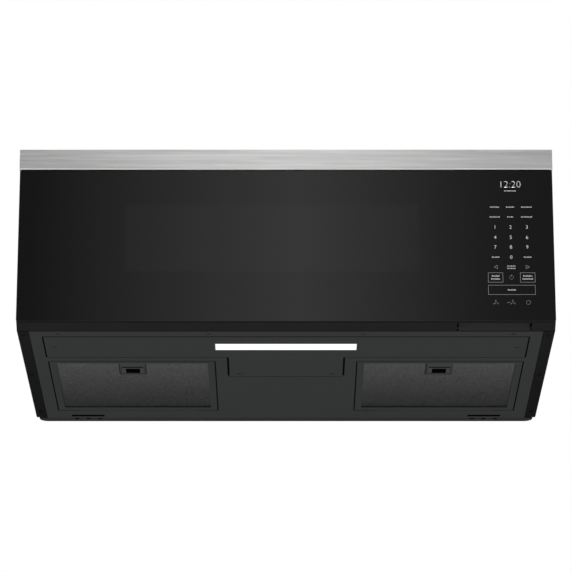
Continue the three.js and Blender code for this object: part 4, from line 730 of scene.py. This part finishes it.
def pad_depth(side):
    """The crumpled second layer seen through the strands."""
    rng = random.Random(DEPTH_SEED + side)
    x0, x1 = pad_span(side)
    count = DEPTH_STEPS_X + 1
    points = [(x0 + (x1 - x0) * i / DEPTH_STEPS_X,
               PAD_FRONT + (PAD_REAR - PAD_FRONT) * j / DEPTH_STEPS_Y,
               DEPTH_NEAR + rng.random() * DEPTH_CRUMPLE)
              for j in range(DEPTH_STEPS_Y + 1) for i in range(count)]
    faces = []
    for j in range(DEPTH_STEPS_Y):
        for i in range(DEPTH_STEPS_X):
            a = j * count + i
            corners = [a, a + 1, a + count + 1, a + count]
            if not any(in_window(*points[k][:2], side) for k in corners):
                faces.append(corners)
    form = Form()
    form.add(points, faces)
    return form


for name, side in (("left", -1), ("right", 1)):
    mesh_piece = expanded_metal(side).piece(f"{name}_expanded_metal", looks["filter_mesh"],
                                            f"{name}_filter", "filter_mesh")
    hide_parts(f"{name}_filter_mesh")
    backing_piece = pad_depth(side).piece(f"{name}_pad_depth", pad_backing, f"{name}_filter",
                                          "filter_mesh", smooth=False)
    solidify = backing_piece.modifiers.new("thickness", "SOLIDIFY")
    solidify.thickness = DEPTH_THICK * MM
    solidify.offset = 0

# ---------------------------------------------------------------- lips around the catch, and black boxes of painted shade in its slot and finger well
LIP_LOW, LIP_HIGH, LIP_HALF = 0.05, 0.45, 16.8
LIP_SPANS = ((SLIDE_FRONT + 0.1, SLIDE_FRONT + 4.8), (SLIDE_REAR - 5.4, SLIDE_REAR - 0.1))
SLOT_HALF, SLOT_FRONT, SLOT_REAR = 15.6, -33.1, -27.2
WELL_HALF, WELL_FRONT, WELL_REAR = 8.6, -18.1, -4.9
SHADE_LAP = 0.1
CATCH_SHADES = ((SLOT_HALF, SLOT_FRONT, SLOT_REAR), (HOLE_HALF, HOLE_FRONT, WELL_FRONT + SHADE_LAP),
                (HOLE_HALF, WELL_REAR - SHADE_LAP, HOLE_REAR))
SHADE_LOW, SHADE_HIGH = 0.5, 0.62


def box_faces(x0, x1, y0, y1, z0, z1):
    """Corners and faces of a box between the given limits."""
    corners = [(x, y, z) for x in (x0, x1) for y in (y0, y1) for z in (z0, z1)]
    return corners, [[0, 1, 3, 2], [4, 6, 7, 5], [0, 4, 5, 1], [2, 3, 7, 6], [0, 2, 6, 4], [1, 5, 7, 3]]


for name, side in (("left", -1), ("right", 1)):
    lips = Form()
    for front, rear in LIP_SPANS:
        lips.add(*box_faces(side * CATCH_X - LIP_HALF, side * CATCH_X + LIP_HALF, front, rear,
                            LIP_LOW, LIP_HIGH))
    lips.piece(f"{name}_catch_lips", lip_grey, f"{name}_filter", "charcoal_paint", smooth=False)
    shades = Form()
    for half, front, rear in CATCH_SHADES:
        shades.add(*box_faces(side * CATCH_X - half, side * CATCH_X + half, front, rear,
                              SHADE_LOW, SHADE_HIGH))
    for end in (-1, 1):
        middle = side * CATCH_X + end * (HOLE_HALF + WELL_HALF) / 2
        width = (HOLE_HALF - WELL_HALF) / 2
        shades.add(*box_faces(middle - width, middle + width, WELL_FRONT, WELL_REAR,
                              SHADE_LOW, SHADE_HIGH))
    shades.piece(f"{name}_catch_shades", painted_shade_pieces, f"{name}_catch", "black_plastic", smooth=False)

# ---------------------------------------------------------------- grip ramp on the pull's rear wall, in a lighter grey that paints light into the pull's recess
RAMP_FACE = ((-203.0, 9.9), (-195.7, 0.6))
PULL_LEFT, PULL_RIGHT, PULL_SLANT_Z = 240.3, 343.3, 7.4


def ramp_section(x, low):
    """The ramp's triangle in (y, z) at x, cut off below low."""
    (y0, z0), (y1, z1) = RAMP_FACE
    share = (z0 - low) / (z0 - z1)
    return [(x, y0, z0), (x, y0 + share * (y1 - y0), low), (x, y1 + 0.1, low), (x, y1 + 0.1, z0)]


ramp = Form()
ramp.loops([ramp_section(PULL_LEFT + max(0.0, RAMP_FACE[0][1] - PULL_SLANT_Z), RAMP_FACE[1][1]),
            ramp_section(PULL_RIGHT, RAMP_FACE[1][1])])
ramp.piece("pull_ramp", pull_painted_light, "door", "black_plastic", smooth=False)

# ---------------------------------------------------------------- black strips of painted shade in the gaps round the cover and beside the filters
GAP_SHADE_INSIDE, GAP_SHADE_OUTSIDE = 0.02, 1.18
GAP_SHADE_LOW, GAP_SHADE_HIGH = 0.2, 1.47
COVER_CHAMFER = 3.0


def cover_outline(grow):
    """The cover's T outline in (x, y), grown by the edges of the black strip of painted shade in its
    gap.
    """
    w, t = COVER_HALF + grow, TONGUE_HALF + grow
    f, r, e = COVER_FRONT - grow, COVER_REAR + grow, TONGUE_REAR + grow
    c = COVER_CHAMFER + grow
    return [(-w + c, f), (w - c, f), (w, f + c), (w, r), (t, r), (t, e - c), (t - c, e), (-t + c, e),
            (-t, e - c), (-t, r), (-w, r), (-w, f + c)]


gap_shade = Form()
inside, outside = cover_outline(GAP_SHADE_INSIDE), cover_outline(GAP_SHADE_OUTSIDE)
around = len(inside)
gap_shade.add([(x, y, z) for z in (GAP_SHADE_LOW, GAP_SHADE_HIGH) for x, y in inside + outside],
         [face for i in range(around) for j in [(i + 1) % around] for face in (
             [i, j, around + j, around + i],
             [2 * around + i, 2 * around + j, 3 * around + j, 3 * around + i],
             [i, j, 2 * around + j, 2 * around + i],
             [around + i, around + j, 3 * around + j, 3 * around + i])])
gap_shade.piece("cover_gap_shade", gap_shade_black, "cabinet", "black_plastic", smooth=False)

# Near-black strips in the gaps beside each filter: painted shade.
GAP_STRIP_WIDTH, GAP_STRIP_LOW, GAP_STRIP_HIGH = 0.45, 0.05, 1.3
for name, side in (("left", -1), ("right", 1)):
    gap_strip = Form()
    for x, inward in ((FILTER_INNER - FILTER_GAP, 1), (FILTER_OUTER + FILTER_GAP, -1)):
        ends = sorted((side * (x + 0.02 * inward), side * (x + GAP_STRIP_WIDTH * inward)))
        gap_strip.add(*box_faces(*ends, FILTER_FRONT + 5, FILTER_REAR - 5, GAP_STRIP_LOW, GAP_STRIP_HIGH))
    gap_strip.piece(f"{name}_opening_gap_shade", gap_shade_black, "cabinet", "black_plastic", smooth=False)

# ---------------------------------------------------------------- door screen behind the window
SCREEN_Y, SCREEN_THICK = -194.83, 0.12
PITCH, HOLE = 3.1, 1.0
SCREEN_WELD = 0.00001
SCREEN_INSET = (0.5, -0.5, 1.0, 0.0)
screen = Form()
x0, x1, z0, z1 = (edge + inset for edge, inset in zip(WINDOW, SCREEN_INSET))
columns = int((x1 - x0) / PITCH)
rows = int((z1 - z0) / PITCH)
for j in range(rows):
    for i in range(columns):
        cx, cz = x0 + (i + 0.5) * PITCH, z0 + (j + 0.5) * PITCH
        half = PITCH / 2
        square = [(cx - half, cz - half), (cx, cz - half), (cx + half, cz - half), (cx + half, cz),
                  (cx + half, cz + half), (cx, cz + half), (cx - half, cz + half), (cx - half, cz)]
        hole = [(cx + HOLE * math.cos(math.radians(225 + 45 * k)),
                 cz + HOLE * math.sin(math.radians(225 + 45 * k))) for k in range(8)]
        screen.add([(x, SCREEN_Y, z) for x, z in square + hole],
                   [[k, (k + 1) % 8, 8 + (k + 1) % 8, 8 + k] for k in range(8)])
screen_piece = screen.piece("door_screen", screen_paint, "door", "black_paint", smooth=False)
screen_weld = screen_piece.modifiers.new("weld", "WELD")
screen_weld.merge_threshold = SCREEN_WELD
screen_thick = screen_piece.modifiers.new("thickness", "SOLIDIFY")
screen_thick.thickness = SCREEN_THICK * MM
screen_thick.offset = 0

# ---------------------------------------------------------------- floor, cards and light
FLOOR_Z, FLOOR_HALF = -1.75, 14
CARD_Y, CARD_HALF = -5.0, 2.2
REAR_CARD_Y, REAR_CARD_HALF = 0.45, 1.2
FRONT_STOPS = [(-2.2, 0.04), (-0.74, 0.09), (0.04, 0.78), (0.466, 0.3), (0.569, 0.207),
               (0.672, 0.157), (0.8, 0.12), (2.2, 0.08)]
UPPER_STOPS = [(-2.2, 0.4), (-0.8, 0.38), (-0.5, 0.7), (0.0, 1.5), (0.45, 0.9), (0.69, 0.4),
               (2.2, 0.4)]
REAR_STOPS = [(-0.9, 1.8), (-0.42, 1.65), (-0.375, 0.98), (-0.32, 0.5), (-0.235, 0.2),
              (-0.04, 0.05), (-0.01, 0.02)]


def stage_plane(name, corners, look):
    mesh = bpy.data.meshes.new(name)
    mesh.from_pydata(corners, [], [[0, 1, 2, 3]])
    mesh.materials.append(look)
    made = bpy.data.objects.new(name, mesh)
    bpy.context.scene.collection.objects.link(made)
    return made


def floor_look():
    s = Shader("pale_floor", Roughness=0.7, Specular_IOR_Level=0.2)
    cloud = s.noise(3.0, 3.0)
    s.feed("Base Color", s.mix(cloud, grey(0.8), grey(0.84)))
    clear = s.node("BsdfTransparent").outputs[0]
    side = s.node("NewGeometry").outputs["Backfacing"]
    mix = s.node("MixShader", {0: side, 1: s.bsdf.outputs[0], 2: clear})
    out = s.tree.nodes["Material Output"]
    s.tree.links.new(mix.outputs[0], out.inputs["Surface"])
    return s.material


def card_look(name, axis, stops):
    """A lit card whose brightness changes along one axis; stops are (metres, brightness)."""
    material = bpy.data.materials.new(name)
    material.use_nodes = True
    tree = material.node_tree
    tree.nodes.clear()
    place = tree.nodes.new("ShaderNodeTexCoord")
    split = tree.nodes.new("ShaderNodeSeparateXYZ")
    tree.links.new(place.outputs["Object"], split.inputs[0])
    low, high = stops[0][0], stops[-1][0]
    remap = tree.nodes.new("ShaderNodeMapRange")
    remap.inputs["From Min"].default_value = low
    remap.inputs["From Max"].default_value = high
    tree.links.new(split.outputs[axis], remap.inputs["Value"])
    ramp = tree.nodes.new("ShaderNodeValToRGB")
    elements = ramp.color_ramp.elements
    while len(elements) < len(stops):
        elements.new(0.5)
    for element, (where, value) in zip(elements, stops):
        element.position = (where - low) / (high - low)
        element.color = grey(value)
    tree.links.new(remap.outputs["Result"], ramp.inputs[0])
    glow = tree.nodes.new("ShaderNodeEmission")
    tree.links.new(ramp.outputs[0], glow.inputs["Color"])
    out = tree.nodes.new("ShaderNodeOutputMaterial")
    tree.links.new(glow.outputs[0], out.inputs["Surface"])
    return material


def upright_card(name, half, y, low, high, axis, stops):
    """A lit card in the plane y, which only reflections see, as they see a studio flag."""
    corners = [(-half, y, low), (half, y, low), (half, y, high), (-half, y, high)]
    made = stage_plane(name, corners, card_look(name + "_light", axis, stops))
    for ray in ("camera", "diffuse", "transmission", "volume_scatter", "shadow"):
        setattr(made, "visible_" + ray, False)


stage_plane("floor", [(x * FLOOR_HALF, y * FLOOR_HALF, FLOOR_Z)
                      for x, y in ((-1, -1), (1, -1), (1, 1), (-1, 1))], floor_look())
upright_card("front_card", CARD_HALF, CARD_Y, 0.7, 3.4, 0, FRONT_STOPS)
upright_card("upper_card", CARD_HALF, CARD_Y, 3.4, 7.0, 0, UPPER_STOPS)
upright_card("rear_card", REAR_CARD_HALF, REAR_CARD_Y, -0.9, -0.01, 2, REAR_STOPS)


LIGHTS = (("key_light", (-1.3, -3.4, 2.6), (0, 0, 0.1), (2.6, 2.0), 60),
          ("fill_light", (2.4, -2.6, 1.2), (0, 0, 0.1), (2.0, 2.0), 26),
          ("under_light", (0.0, 0.5, -1.6), (0, 0, 0.0), (2.6, 2.0), 19))


def area_light(name, place, target, size, power):
    """A lamp that lights the object but shows neither in the picture nor in reflections."""
    data = bpy.data.lights.new(name, "AREA")
    data.shape = "RECTANGLE"
    data.size, data.size_y = size
    data.energy = power
    made = bpy.data.objects.new(name, data)
    bpy.context.scene.collection.objects.link(made)
    made.location = place
    made.rotation_mode = "QUATERNION"
    made.rotation_quaternion = (Vector(target) - Vector(place)).to_track_quat("-Z", "Y")
    made.visible_glossy = False
    made.visible_camera = False


for light in LIGHTS:
    area_light(*light)

world = bpy.data.worlds.new("studio")
bpy.context.scene.world = world
world.use_nodes = True
tree = world.node_tree
tree.nodes.clear()
rays = tree.nodes.new("ShaderNodeLightPath")
seen = rays.outputs["Is Camera Ray"]
for name in ("Is Glossy Ray", "Is Transmission Ray"):
    either = tree.nodes.new("ShaderNodeMath")
    either.operation = "MAXIMUM"
    tree.links.new(seen, either.inputs[0])
    tree.links.new(rays.outputs[name], either.inputs[1])
    seen = either.outputs[0]
WORLD_LIGHT = 0.7
strength = tree.nodes.new("ShaderNodeMapRange")
strength.inputs["To Min"].default_value = WORLD_LIGHT
strength.inputs["To Max"].default_value = 1.0
tree.links.new(seen, strength.inputs["Value"])
sky = tree.nodes.new("ShaderNodeBackground")
sky.inputs["Color"].default_value = grey(1.0)
tree.links.new(strength.outputs["Result"], sky.inputs["Strength"])
world_out = tree.nodes.new("ShaderNodeOutputWorld")
tree.links.new(sky.outputs[0], world_out.inputs["Surface"])

# ---------------------------------------------------------------- camera and view
CAMERA_PLACE, CAMERA_RISE = (0.0, -4.728, -1.539), 19.51
SENSOR_WIDTH, FOCAL_LENGTH, FAR_CLIP = 36.0, 214.0, 100.0
camera_data = bpy.data.cameras.new("photo_camera")
camera_data.sensor_width = SENSOR_WIDTH
camera_data.lens = FOCAL_LENGTH
camera_data.clip_end = FAR_CLIP
camera = bpy.data.objects.new("photo_camera", camera_data)
bpy.context.scene.collection.objects.link(camera)
camera.location = CAMERA_PLACE
camera.rotation_euler = (math.radians(90 + CAMERA_RISE), 0, 0)
bpy.context.scene.camera = camera
bpy.context.scene.view_settings.view_transform = "Standard"
